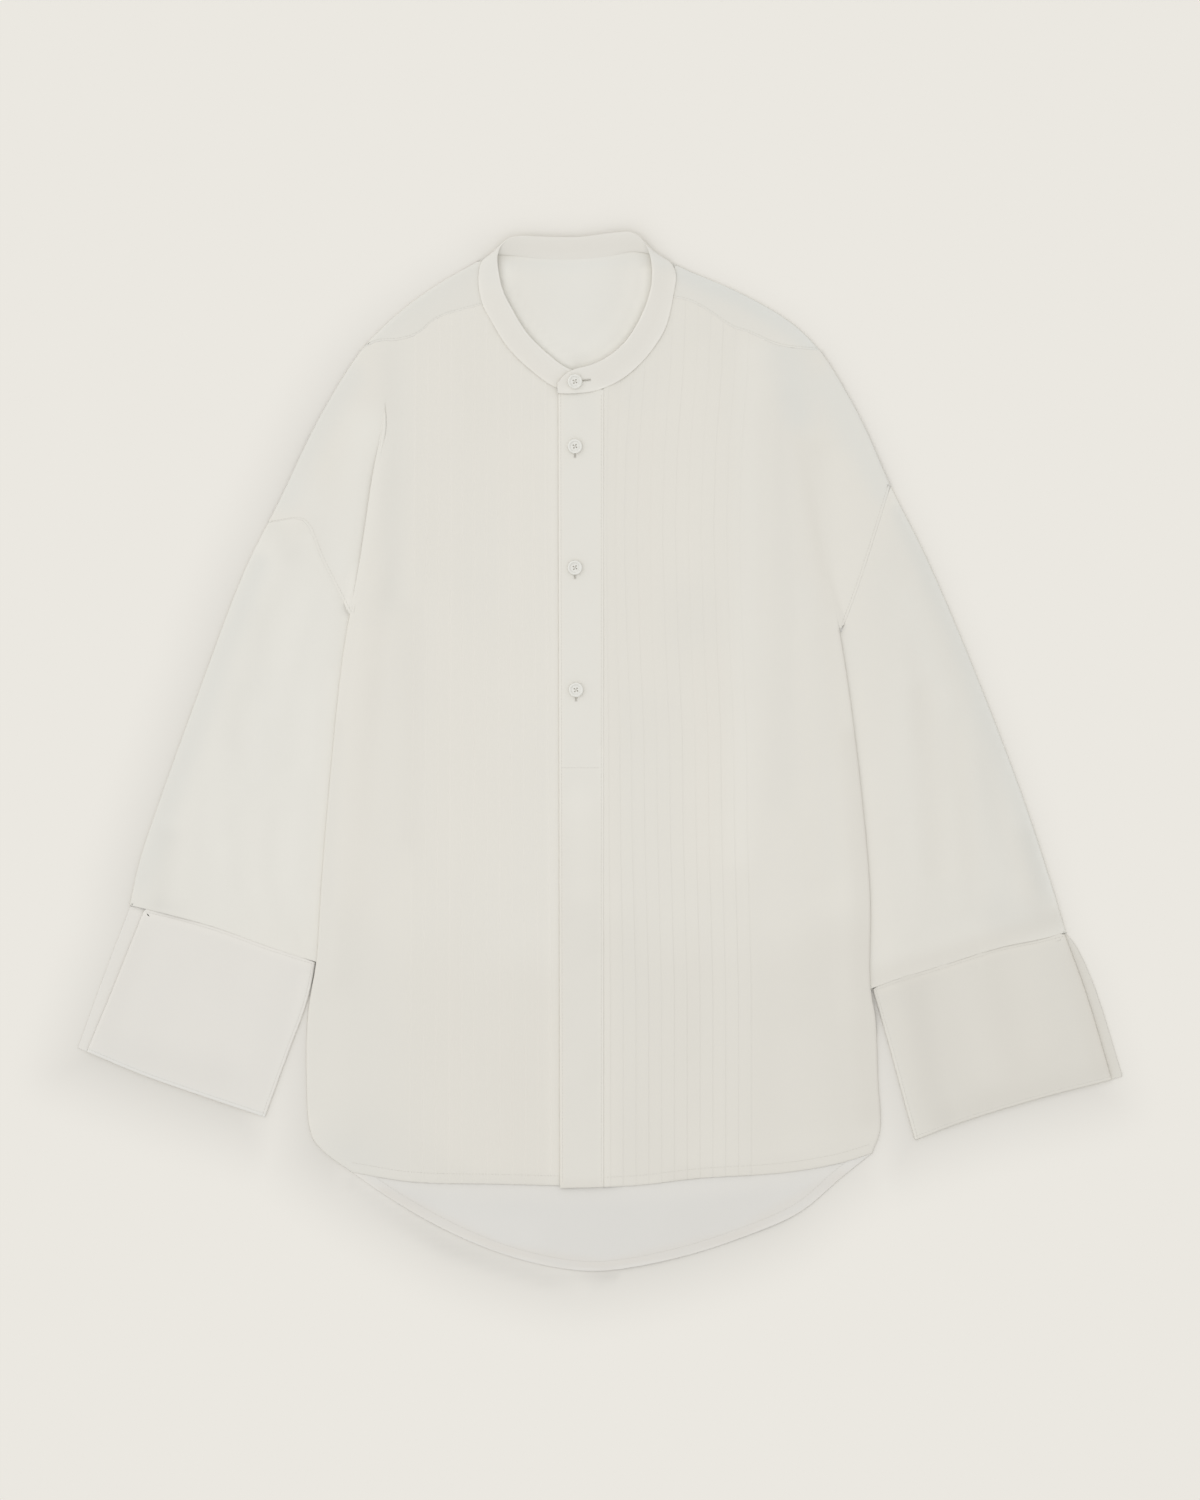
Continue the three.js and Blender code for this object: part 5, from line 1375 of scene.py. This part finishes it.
@dataclass
class Body:
    """Back panel, both fronts and the placket."""

    shop: Wardrobe
    step: float

    def side(self, half: Half) -> list[np.ndarray]:
        """Outline of one side from the armhole down to the hem.

        Args:
            half: Side of the shirt.

        Returns:
            Its points above and below the middle of the body.
        """
        below = half.edge.points[half.edge.points[:, 1] < -20.5]
        return [half.edge.stretch(half.armhole.points[-1, 1], -20), below]

    def back_panel(self) -> bpy.types.Object:
        """The back, whose tail shows below the fronts, with its narrow turned hem.

        Returns:
            The piece.
        """
        top = BACK_YOKE_SEAM - GAP
        outline = np.vstack([
            RIGHT.contour.stretch(top, RIGHT.armhole_top), RIGHT.armhole.points, *self.side(RIGHT),
            TAIL.points[1:-1], *(p[::-1] for p in self.side(LEFT)[::-1]), LEFT.armhole.points[::-1],
            LEFT.contour.stretch(top, LEFT.armhole_top)[::-1],
        ])

        def height(x: np.ndarray, y: np.ndarray) -> np.ndarray:
            hem = 1 - smoothstep(TAIL.distance(x, y), *TAIL_HEM)
            tail = 1 - smoothstep(y, *TAIL_FREE)
            wave = TAIL_WAVE + TAIL_WAVE * np.sin(x / 31 + 0.6) * np.sin(y / 17 + x / 90)
            return Drape.back(x, y) - WALL + CLOTH + TAIL_HEM_RISE * hem + tail * wave

        grid = Grid(self.step * 1.2, self.step * 1.2, rows=tuple(np.arange(-416, -330, 2.0)))
        sides = [Rim(Line(np.vstack(self.side(half))), 0.25, 1.5) for half in (RIGHT, LEFT)]
        piece = single_layer("shirt_back", outline, grid, height, [Rim(TAIL, 0.2, 0.6), *sides])
        return self.shop.cloth(piece, "back_panel", TAIL_INSIDE, Cut.of(outline))

    def front(self, half: Half) -> bpy.types.Object:
        """One front with its twelve pintucks.

        Args:
            half: Side of the front.

        Returns:
            The piece.
        """
        hem = half.front_hem.points if half is RIGHT else half.front_hem.points[::-1]
        armhole, close = half.armhole.points, half.armhole.part(0.6, 1, 0.8)
        armhole, close = armhole[armhole[:, 1] > half.underarm + 12], close[close[:, 1] < half.underarm + 11]
        outline = np.vstack([
            (half.yoke_seam.points - (0, SEAM))[::-1],
            half.contour.stretch(half.yoke_end - SEAM, half.armhole_top)[1:],
            armhole, close, *self.side(half), hem, half.neck.points[::-1][:-1],
        ])
        still = half.tuck_edges(np.array([0.0]))[:, 0]
        ends = np.array([-half.out * 60.0, half.out * 420.0])
        turn = float(half.edge.x_at(0.0))
        under = turn + half.out * UNDERLAP_STEP

        def folded(y: np.ndarray) -> np.ndarray:
            return 1 - smoothstep(y, *half.crisp)

        def rail(y: np.ndarray) -> np.ndarray:
            edges = half.tuck_edges(y)
            side = half.edge.x_at(y)[None]
            beyond = side + half.out * (0.05 + half.slope * (1 - folded(y)))
            start, end = (np.full_like(side, at) for at in ends)
            return np.vstack([start, edges, side, beyond, end]) * half.out

        fixed = np.concatenate([[ends[0]], still, [turn, under, ends[1]]]) * half.out

        def between(value: np.ndarray, source: np.ndarray, target: np.ndarray) -> np.ndarray:
            out = np.array(value)
            for k in range(len(fixed) - 1):
                here = (value >= source[k]) & (value <= source[k + 1])
                share = (value - source[k]) / (source[k + 1] - source[k])
                out = np.where(here, target[k] + (target[k + 1] - target[k]) * share, out)
            return out

        def straighten(x: np.ndarray, y: np.ndarray) -> np.ndarray:
            return between(x * half.out, rail(y), np.repeat(fixed[:, None], len(y), 1)) * half.out

        def bend(x: np.ndarray, y: np.ndarray) -> np.ndarray:
            return between(x * half.out, np.repeat(fixed[:, None], len(y), 1), rail(y)) * half.out

        columns = [e + half.out * away for e in still for away in (-3.4, -0.5, 0, TUCK_FOOT, TUCK_FOOT + 0.5)]
        columns += [still[0] - half.out * TUCK_INNER_SLOPE]
        columns += [turn + half.out * away for away in FOLD_COLUMNS]
        flat = np.stack([straighten(outline[:, 0], outline[:, 1]), outline[:, 1]], axis=1)
        bm = bmesh.new()
        add_cut(bm, flat, 0.5, Grid(self.step, self.step, columns=tuple(columns)))
        piece = finish_mesh(f"shirt_front_{half.name}", bm)
        rims = [
            Rim(Line(half.contour.stretch(half.yoke_end, half.armhole_top)), 0.9, 1.6),
            Rim(Line(np.vstack(self.side(half))), 1.5, 2.2 if half is RIGHT else 3.6),
            Rim(half.armhole, 0.03, 0.6),
            Rim(half.yoke_seam, 0.2, 1.4),
            Rim(half.front_hem, 1.2, 6.0),
        ]

        def lay(at: np.ndarray) -> np.ndarray:
            y = at[:, 1]
            x = bend(at[:, 0], y)
            passed = np.clip(half.out * (at[:, 0] - turn) / UNDERLAP_STEP, 0, 1)
            z = Drape.front(half, x, y, 1 - passed) - drop_to(rims, x, y)
            z -= 0.5 * (1 - rounded(-half.out * (at[:, 0] - turn), 1.0)) * (passed == 0) * folded(y)
            x = x - half.out * UNDERLAP * np.sin(np.pi * passed) * folded(y)
            return np.stack([x, y, z], axis=1)

        reshape(piece, lay)
        finish = BODY_RIGHT_LIT if half is RIGHT else BODY_LEFT_SHADED
        return self.shop.cloth(piece, f"front_{half.name}", finish, Cut.of(outline), rests_on=["back_panel"])

    def placket(self) -> bpy.types.Object:
        """The doubled strip down the centre front, its lower part a fly over hidden buttons.

        Returns:
            The piece.
        """
        left, right, top, bottom = PLACKET_LEFT, PLACKET_RIGHT, PLACKET_TOP, PLACKET_BOTTOM
        outline = np.array([(left, top), (left + 1.4, bottom), (right, bottom + 1), (right, top + 1.4)])
        rims = [
            Rim(Line(outline[:2]), 0.66, 1.1), Rim(Line(outline[1:3]), 1.25, 2.0),
            Rim(Line(outline[2:]), 0.14, 0.6),
        ]
        grid = Grid(PLACKET_STEP, PLACKET_STEP, rims=(0.4, 0.8))
        piece = single_layer("shirt_placket", outline, grid, Drape.placket, rims)
        return self.shop.cloth(piece, "placket", BODY_LEFT_SHADED, Cut.of(outline), DOUBLED, rests_on=["front_left"])


@dataclass
class Sleeves:
    """Both sleeves with their cuffs."""

    shop: Wardrobe
    step: float

    def sleeve(self, half: Half) -> bpy.types.Object:
        """A wide sleeve as a flattened tube, its inner fold tucked under the body.

        Args:
            half: Side of the sleeve.

        Returns:
            The piece.
        """
        lowest = half.cuff_seam.points[-1, 1]
        tucked = half.edge.stretch(half.underarm - 3, lowest) - (half.out * SLEEVE_TUCKED, 0)
        outer = half.contour.stretch(half.armhole_top - SEAM, half.cuff_seam.points[0, 1] + 0.6)
        corner = half.armhole.points[-1] + (-half.out * 9, 8)
        seam = half.armhole.points[1:] + (half.out * SEAM, -SEAM)
        outline = np.vstack([
            outer[:1], seam, [corner], tucked[:-1], half.cuff_seam.points[::-1], outer[::-1][:-1],
        ])
        rims = [Rim(half.armhole, 0.2, 1.4), Rim(half.cuff_seam, 0.22, 5.0)]
        piece = folded_pair(
            f"shirt_sleeve_{half.name}", outline, outline, [Line(outer), Line(tucked)],
            Grid(self.step, self.step), lambda x, y: Drape.sleeve(half, x, y), rims, FOLD_RADIUS,
        )
        finish = BODY_RIGHT_LIT if half is RIGHT else BODY_LEFT_SHADED
        return self.shop.cloth(piece, f"sleeve_{half.name}", finish, Cut.of(outline, outline), held="folded")

    def cuff(self, half: Half) -> bpy.types.Object:
        """A deep cuff, its two doubled layers open along the outer edge.

        Args:
            half: Side of the cuff.

        Returns:
            The piece.
        """
        def outline_with(outer: Line) -> np.ndarray:
            seam = half.cuff_seam.points - (0, SEAM)
            far = half.out * seam[:, 0]
            clear = far > half.out * half.cuff_inner.points[0, 0] + CORNER_CLEAR
            seam = seam[clear & (far < half.out * outer.points[-1, 0] - CORNER_CLEAR)]
            return np.vstack([seam, half.cuff_inner.points, half.cuff_hem.points[1:], outer.points])

        upper, lower = outline_with(half.cuff_outer), outline_with(half.cuff_under)
        rims = [Rim(half.cuff_hem, 1.1, 2.6), Rim(half.cuff_outer, 1.0, 2.2), Rim(half.cuff_seam, 0.03, 0.6)]
        piece = folded_pair(
            f"shirt_cuff_{half.name}", upper, lower, [half.cuff_inner],
            Grid(self.step, self.step, rims=(0.6, 1.2, 1.4, 1.8)), lambda x, y: Drape.cuff(half, x, y), rims,
            CUFF_FOLD_RADIUS,
        )
        finish = CUFF_RIGHT_LIT if half is RIGHT else CUFF_LEFT_SHADED
        return self.shop.cloth(piece, f"cuff_{half.name}", finish, Cut.of(upper, lower), DOUBLED, "folded")


@dataclass
class Neckline:
    """Yoke and collar band."""

    shop: Wardrobe
    step: float

    def yoke(self) -> bpy.types.Object:
        """One cloth that lies under the collar and folds over both shoulders.

        Returns:
            The piece.
        """
        bm = bmesh.new()
        sides = [
            (half, half.contour.stretch(half.neck_side.points[-1, 1], half.yoke_end))
            for half in (RIGHT, LEFT)
        ]
        backs = [half.contour.stretch(half.neck_side.points[-1, 1], BACK_YOKE_SEAM) for half, _ in sides]
        back = np.vstack([backs[0], backs[1][::-1], BACK_NECK.points[::-1][1:-1]])
        layers = [(back, -1.0)]
        for half, shoulder in sides:
            layers.append((np.vstack([shoulder, half.yoke_seam.points[1:], half.neck_side.points[1:]]), 1.0))
        folds = [Line(shoulder) for _, shoulder in sides]
        add_folded(bm, layers, folds, Grid(self.step, self.step))
        piece = finish_mesh("shirt_yoke", bm)
        rims = [Rim(half.yoke_seam, 0.05, 0.6) for half, _ in sides]

        def lay(at: np.ndarray) -> np.ndarray:
            x, y, level = at.T
            share = rounded(np.min([fold.distance(x, y) for fold in folds], axis=0), FOLD_RADIUS)
            high = Drape.upper(x, y) - drop_to(rims, x, y)
            middle = FOLD_HEIGHT / 2
            lining = NECK_LIFT * spread(NECK_MIDDLE, x, y)
            z = np.where(level > 0, middle + (high - middle) * share, middle * (1 - share) + lining)
            return np.stack([x, y, np.where(level == 0, middle, z)], axis=1)

        reshape(piece, lay)
        cut = Cut.over_fold(*(outline for outline, _ in layers))
        return self.shop.cloth(piece, "yoke", BODY_LEFT_SHADED, cut, held="folded")

    def band(self) -> bpy.types.Object:
        """The standing band: a doubled strip round the neck whose ends overlap at the centre front.

        Returns:
            The piece.
        """
        around, along = 24, 260
        share = np.linspace(0, 1, along + 1)
        feet = resample(smooth_points([row[:3] for row in BAND_SECTIONS], 8), share)
        tops = resample(smooth_points([row[3:] for row in BAND_SECTIONS], 8), share)
        up = tops - feet
        run = np.gradient(feet, axis=0) / 2 + np.gradient(tops, axis=0) / 2
        face = np.cross(run, up)
        face /= np.linalg.norm(face, axis=1, keepdims=True)
        height = np.linalg.norm(up, axis=1, keepdims=True)
        up /= height
        bm = bmesh.new()
        bmesh.ops.create_grid(bm, x_segments=along, y_segments=around, size=0.5)
        piece = finish_mesh("shirt_collar_band", bm)

        def lay(at: np.ndarray) -> np.ndarray:
            i = np.rint((at[:, 0] + 0.5) * along).astype(int)
            turn = np.rint((at[:, 1] + 0.5) * around).astype(int) % around
            rise, side = band_section(height[i, 0], turn / around)
            return feet[i] + up[i] * rise[:, None] + face[i] * side[:, None]

        reshape(piece, lay)
        bm = bmesh.new()
        bm.from_mesh(piece.data)
        bmesh.ops.remove_doubles(bm, verts=bm.verts, dist=0.00001)
        bmesh.ops.holes_fill(bm, edges=[e for e in bm.edges if e.is_boundary], sides=0)
        bmesh.ops.recalc_face_normals(bm, faces=bm.faces)
        bm.to_mesh(piece.data)
        bm.free()
        piece.data.shade_smooth()
        # Paints the light and shade of the band into its colour
        painted_light_and_shade(piece, PAINTED_STROKES.get("collar_band", ()))
        self.shop.finishes.wear(piece, COLLAR)
        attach(piece, "root")
        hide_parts("collar_band")
        return piece


def resample(points: np.ndarray, share: np.ndarray) -> np.ndarray:
    """Points of a line at shares of its own step count."""
    own = np.linspace(0, 1, len(points))
    return np.stack([np.interp(share, own, points[:, i]) for i in range(points.shape[1])], axis=1)


def band_section(height: np.ndarray, turn: np.ndarray) -> tuple[np.ndarray, np.ndarray]:
    """Round-edged section of the band.

    Args:
        height: Height of the band at each point.
        turn: Share of the way round the section, from the foot up the outside.

    Returns:
        Distance up from the foot and distance outwards from the middle of the cloth.
    """
    half = BAND / 2
    angle = turn * 2 * np.pi
    side = -np.cos(angle)
    up = np.sin(angle)
    squared = np.maximum(np.abs(side), 1e-6) ** 0.35 * np.sign(side)
    lift = np.sign(up) * np.abs(up) ** 0.8
    return height / 2 - squared * (height / 2), lift * half


@dataclass
class Buttons:
    """Shirt buttons with four holes, and the thread that holds them."""

    shop: Wardrobe

    def button(
        self, node: str, x: float, y: float, z: float, tilt: float, squash: float = 1,
    ) -> bpy.types.Object:
        """A four-hole button with a raised rim, turned from its profile, with its holes and thread.

        Args:
            node: CAD node that it stands for.
            x: Its middle across.
            y: Its middle along.
            z: Height of its underside.
            tilt: Lean about the line across the shirt.
            squash: Share of its full thickness.

        Returns:
            The button.
        """
        bm = bmesh.new()
        verts = [bm.verts.new((r, 0, h)) for r, h in BUTTON_PROFILE]
        edges = [bm.edges.new(pair) for pair in zip(verts[:-1], verts[1:])]
        bmesh.ops.spin(
            bm, geom=verts + edges, cent=(0, 0, 0), axis=(0, 0, 1), steps=BUTTON_STEPS, angle=2 * math.pi,
            use_merge=True,
        )
        bmesh.ops.remove_doubles(bm, verts=bm.verts, dist=0.001)
        bmesh.ops.recalc_face_normals(bm, faces=bm.faces)
        piece = finish_mesh(f"shirt_{node}", bm)
        turned = Matrix.Rotation(tilt, 4, "X") @ Matrix.Rotation(BUTTON_TURN, 4, "Z")
        turned = turned @ Matrix.Scale(squash, 4, (0, 0, 1))
        place = Matrix.Translation((x, y, z)) @ turned
        turn = np.array(place.to_3x3())
        reshape(piece, lambda at: at @ turn.T + (x, y, z))
        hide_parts(node)
        self.fixing(node, place)
        return self.shop.trim(piece, PLASTIC, "button")

    def fixing(self, node: str, place: Matrix) -> None:
        """Painted shade in the holes of a button, as dark discs, and the crossed thread through them.

        Args:
            node: CAD node of the button.
            place: The button's place and turn.
        """
        bm = bmesh.new()
        corners = [(i * HOLE_SPREAD, j * HOLE_SPREAD) for i, j in ((1, 1), (-1, 1), (-1, -1), (1, -1))]
        # Dark discs in the holes: painted shade
        for hx, hy in corners:
            bmesh.ops.create_cone(
                bm, cap_ends=True, segments=10, radius1=HOLE_RADIUS, radius2=HOLE_RADIUS, depth=0.3,
                matrix=place @ Matrix.Translation((hx, hy, HOLE_LEVEL - 0.13)),
            )
        self.shop.trim(in_metres(finish_mesh(f"holes_{node}", bm, False)), SHADE, "button")
        bm = bmesh.new()
        for turn in (0.25, 0.75):
            above = place @ Matrix.Translation((0, 0, HOLE_LEVEL + 0.2))
            strand(bm, above @ Matrix.Rotation(turn * math.pi, 4, "Z"), (HOLE_SPREAD * 1.5, 0.3, 0.22))
        self.shop.trim(in_metres(finish_mesh(f"thread_{node}", bm)), THREAD)


def in_metres(piece: bpy.types.Object) -> bpy.types.Object:
    """Scales a piece that was modelled in millimetres."""
    reshape(piece, lambda at: at)
    return piece


def strand(bm: bmesh.types.BMesh, place: Matrix, size: tuple[float, float, float]) -> None:
    """One short length of thread: half its length, width and height, at a place."""
    bmesh.ops.create_icosphere(bm, subdivisions=1, radius=1, matrix=place @ Matrix.Diagonal((*size, 1)))


class Surface:
    """The upper side of a finished piece, to lay thread on."""

    def __init__(self, piece: bpy.types.Object) -> None:
        """Reads the piece's mesh."""
        bm = bmesh.new()
        bm.from_mesh(piece.data)
        self.tree = BVHTree.FromBMesh(bm)
        bm.free()

    def at(self, x: float, y: float) -> tuple[Vector, Vector] | None:
        """Place and direction of the surface above a point, in millimetres."""
        spot, facing, _, _ = self.tree.ray_cast(Vector((x * MM, y * MM, 0.1)), Vector((0, 0, -1)))
        return None if spot is None else (spot / MM, facing)


@dataclass
class Sewing:
    """Rows of stitches and the buttonholes."""

    shop: Wardrobe
    pitch: float = 2.6
    stitch: tuple[float, float, float] = (1.05, 0.17, 0.1)
    bar: tuple[float, float, float] = (0.6, 0.16, 0.14)

    def lay(
        self, bm: bmesh.types.BMesh, on: Surface, x: float, y: float, heading: float,
        size: tuple[float, float, float],
    ) -> None:
        """Lays one stitch flat on a surface.

        Args:
            bm: Mesh that it is added to.
            on: The surface.
            x: Its middle across.
            y: Its middle along.
            heading: Direction in which it runs, in radians.
            size: Half its length, width and height.
        """
        found = on.at(x, y)
        if found is None:
            return
        spot, facing = found
        along = Vector((math.cos(heading), math.sin(heading), 0))
        along = (along - facing * along.dot(facing)).normalized()
        turn = Matrix((along, facing.cross(along), facing)).transposed().to_4x4()
        strand(bm, Matrix.Translation(spot + facing * 0.04) @ turn, size)

    def rows(self, name: str, piece: bpy.types.Object, lines: Iterable[Line]) -> None:
        """Rows of even stitches on one piece.

        Args:
            name: Name of the stitches.
            piece: Cloth that they lie on.
            lines: Lines that they follow.
        """
        on, bm = Surface(piece), bmesh.new()
        for line in lines:
            spots = line.part(0, 1, self.pitch)
            for (ax, ay), (bx, by) in zip(spots[:-1], spots[1:]):
                self.lay(bm, on, (ax + bx) / 2, (ay + by) / 2, math.atan2(by - ay, bx - ax), self.stitch)
        self.shop.trim(in_metres(finish_mesh(name, bm)), THREAD)

    def buttonhole(
        self, name: str, piece: bpy.types.Object, start: tuple[float, float], end: tuple[float, float],
    ) -> None:
        """A slit with its edges oversewn, the slit itself painted shade as a row of dark marks.

        Args:
            name: Name of its button.
            piece: Cloth that it is cut in.
            start: One end of the slit.
            end: Its other end.
        """
        on, bm = Surface(piece), bmesh.new()
        line = Line(np.array([start, end]))
        heading = math.atan2(end[1] - start[1], end[0] - start[0])
        for side in (-0.75, 0.75):
            for x, y in Line(line.moved(side)).part(0, 1, 0.42):
                self.lay(bm, on, x, y, heading + math.pi / 2, self.bar)
        for x, y in (start, end):
            self.lay(bm, on, x, y, heading + math.pi / 2, (1.2, 0.3, 0.18))
        self.shop.trim(in_metres(finish_mesh(f"oversewn_{name}", bm)), THREAD)
        # The slit: a row of dark marks, painted shade in the opening
        bm = bmesh.new()
        for x, y in line.part(0.04, 1, 0.8):
            self.lay(bm, on, x, y, heading, (0.75, 0.26, 0.1))
        self.shop.trim(in_metres(finish_mesh(f"slit_{name}", bm)), SHADE)


@dataclass
class Studio:
    """Floor, lights and camera."""

    floor_tone: tuple[float, float, float] = (0.86, 0.835, 0.78)
    sky: float = 0.84
    sky_tone: tuple[float, float, float] = (1.0, 1.0, 1.0)
    floor_cells: int = 200
    shadow_shift: tuple[float, float] = (-12, -18)
    shadow_reach: float = 47.0
    shadow_tone: tuple[float, float, float] = (0.17, 0.17, 0.17)
    tail_shade: float = 0.07
    key_from: tuple[float, float, float] = (-0.55, 0.28, 0.8)
    key_width: float = 90
    key_power: float = 0.5
    lens: float = 85
    sensor: float = 36
    eye_at: tuple[float, float, float] = (0, 0.0012, 2.833)

    def shadow(self, x: np.ndarray, y: np.ndarray) -> np.ndarray:
        """Wide faint painted shadow of the shirt towards the lower left, 1 where it is deepest.

        Args:
            x: Places across.
            y: Places along.

        Returns:
            Depth of the shadow at each point.
        """
        shapes = [
            np.vstack([
                half.contour.points, half.cuff_under.points[::-1][1:], half.cuff_hem.points[::-1],
                half.cuff_inner.points[::-1][1:], half.edge.points[half.edge.points[:, 1] < half.cuff_corner],
                TAIL.points[TAIL.points[:, 0] * half.out > 0][::half.out] if half is RIGHT else
                TAIL.points[TAIL.points[:, 0] * half.out > 0][::-1], [(0, 0), (0, 405)],
            ])
            for half in (RIGHT, LEFT)
        ]
        dx, dy = self.shadow_shift
        deep = np.zeros(len(x))
        for shape in shapes:
            away = Line(np.vstack([shape, shape[:1]])).distance(x - dx, y - dy)
            inside = within(shape, x - dx, y - dy)
            deep = np.maximum(deep, np.where(inside, 1 + away / SHADOW_RISE, 1 - away / self.shadow_reach))
        return smoothstep(deep, 0, 2)

    def floor(self) -> None:
        """A plain pale surface with the shirt's shadow painted on it."""
        paper = self.paper()
        sheets = (("studio_floor", 0.6, self.floor_cells, -0.05), ("studio_ground", 3, 1, -0.1))
        for name, reach, cells, level in sheets:
            bm = bmesh.new()
            bmesh.ops.create_grid(bm, x_segments=cells, y_segments=cells, size=reach / MM)
            piece = finish_mesh(name, bm)
            reshape(piece, lambda at: at + (0, 0, level))
            self.shade(piece)
            piece.data.materials.append(paper)

    def shade(self, piece: bpy.types.Object) -> None:
        """Writes the shirt's painted shadow into an attribute of the floor."""
        at = np.empty(len(piece.data.vertices) * 3)
        piece.data.vertices.foreach_get("co", at)
        x, y = (at.reshape(-1, 3)[:, :2] / MM).T
        under_tail = self.tail_shade * spread(TAIL_SHADE, x, y)[:, None]
        shade = 1 - self.shadow(x, y)[:, None] * self.shadow_tone - under_tail
        layer = piece.data.attributes.new(PAINTED_LIGHT_ATTRIBUTE, "FLOAT_COLOR", "POINT")
        layer.data.foreach_set("color", np.hstack([shade, np.ones_like(shade[:, :1])]).ravel())

    def paper(self) -> bpy.types.Material:
        """Plain matt paper, with the shirt's shadow painted on it.

        Returns:
            The material.
        """
        material = bpy.data.materials.new("floor_paper")
        material.use_nodes = True
        material.node_tree.nodes.clear()
        graph = Graph(material.node_tree)
        grain = graph.noise(millimetres(graph), 0.02, 3)
        shade = graph.math("MULTIPLY_ADD", grain, 0.006, 0.997)
        plain = graph.scaled(self.floor_tone, shade)
        shaded = graph.add("Attribute", attribute_name=PAINTED_LIGHT_ATTRIBUTE).outputs["Vector"]
        tone = graph.add("VectorMath", {0: plain, 1: shaded}, operation="MULTIPLY").outputs[0]
        looks = {"Base Color": tone, "Roughness": 0.95, "Specular IOR Level": 0.0}
        shader = graph.add("BsdfPrincipled", looks)
        graph.add("OutputMaterial", {"Surface": shader.outputs[0]})
        return material

    def light(self, name: str, toward: tuple[float, float, float], spread: float, power: float) -> None:
        """A wide even light from far off.

        Args:
            name: Name of the light.
            toward: Direction that it comes from.
            spread: Width of the light as seen from the shirt, in degrees.
            power: Light on a surface that faces it.
        """
        data = bpy.data.lights.new(name, "SUN")
        data.angle, data.energy = math.radians(spread), power
        lamp = bpy.data.objects.new(name, data)
        lamp.rotation_euler = (-Vector(toward)).to_track_quat("-Z", "Y").to_euler()
        bpy.context.scene.collection.objects.link(lamp)

    def world(self) -> None:
        """Even light from all round."""
        world = bpy.data.worlds.new("studio_sky")
        world.use_nodes = True
        world.node_tree.nodes.clear()
        graph = Graph(world.node_tree)
        sky = graph.add("Background", {"Color": (*self.sky_tone, 1), "Strength": self.sky})
        graph.add("OutputWorld", {"Surface": sky.outputs[0]})
        bpy.context.scene.world = world

    def camera(self) -> None:
        """A camera straight above, as the photograph was taken."""
        data = bpy.data.cameras.new("photo_camera")
        data.lens, data.sensor_width = self.lens, self.sensor
        data.clip_start, data.clip_end = 0.1, 20
        eye = bpy.data.objects.new("photo_camera", data)
        eye.location = self.eye_at
        bpy.context.scene.collection.objects.link(eye)
        bpy.context.scene.camera = eye

    def build(self) -> None:
        """Sets up the whole studio."""
        self.camera()
        self.floor()
        self.world()
        self.light("key_left", self.key_from, self.key_width, self.key_power)
        view = bpy.context.scene.view_settings
        view.view_transform, view.look, view.exposure, view.gamma = "Standard", "None", 0.0, 1.0


def main() -> None:
    """Builds the shirt and its studio."""
    logging.basicConfig(level=logging.INFO, format="%(name)s: %(message)s")
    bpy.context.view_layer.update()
    shop = Wardrobe(Finishes())
    Studio().build()
    body = Body(shop, BODY_STEP)
    back = body.back_panel()
    fronts = [body.front(half) for half in (RIGHT, LEFT)]
    placket = body.placket()
    sleeves = Sleeves(shop, SLEEVE_STEP)
    cuffs = []
    for half in (RIGHT, LEFT):
        sleeves.sleeve(half)
        cuffs.append(sleeves.cuff(half))
    neckline = Neckline(shop, NECK_STEP)
    yoke = neckline.yoke()
    band = neckline.band()
    buttons, sewing = Buttons(shop), Sewing(shop)
    for node, x, y in SHIRT_BUTTONS:
        z = float(Drape.placket(np.array([x]), np.array([y]))[0]) + GAP
        buttons.button(node, x, y, z, 0)
        sewing.buttonhole(node, placket, (x, y + BUTTONHOLE_ABOVE), (x, y - BUTTONHOLE_BELOW))
    buttons.button("button_collar", *COLLAR_BUTTON)
    sewing.buttonhole("button_collar", band, *COLLAR_BUTTONHOLE)
    for i, (x, y) in enumerate(FLY_BUTTONS, 1):
        z = float(Drape.upper(np.array([x]), np.array([y]))[0]) + FLY_CLEAR
        buttons.button(f"fly_button_{i}", x, y, z, 0, FLY_SQUASH)
    sewing.rows("stitches_tail", back, [Line(TAIL.moved(TAIL_STITCH))])
    for half, front, cuff in zip((RIGHT, LEFT), fronts, cuffs):
        sewing.rows(f"stitches_front_{half.name}", front, [
            Line(half.front_hem.points + (0, HEM_STITCH)),
            Line(half.armhole.points + (-half.out * ARMHOLE_STITCH_IN, ARMHOLE_STITCH_UP)),
        ])
        sewing.rows(f"stitches_cuff_{half.name}", cuff, [
            Line(half.cuff_hem.points + (0, CUFF_HEM_STITCH)),
            Line(half.cuff_seam.points - (0, CUFF_SEAM_STITCH)),
            Line(half.cuff_inner.points + (half.out * CUFF_SIDE_STITCH, 0)),
        ])
    seams = [Line(half.yoke_seam.points + (0, YOKE_STITCH)) for half in (RIGHT, LEFT)]
    sewing.rows("stitches_yoke", yoke, seams)
    sewing.rows("stitches_placket", placket, [
        Line(np.array([(x, PLACKET_TOP - 3), (x + lean, PLACKET_BOTTOM + 3)]))
        for x, lean in ((PLACKET_LEFT + 2, 1.4), (PLACKET_RIGHT - 2, 0))
    ] + [Line(np.array([(PLACKET_LEFT + 1.6, FLY_STITCH), (PLACKET_RIGHT - 1, FLY_STITCH)]))])


if __name__ == "__main__":
    main()
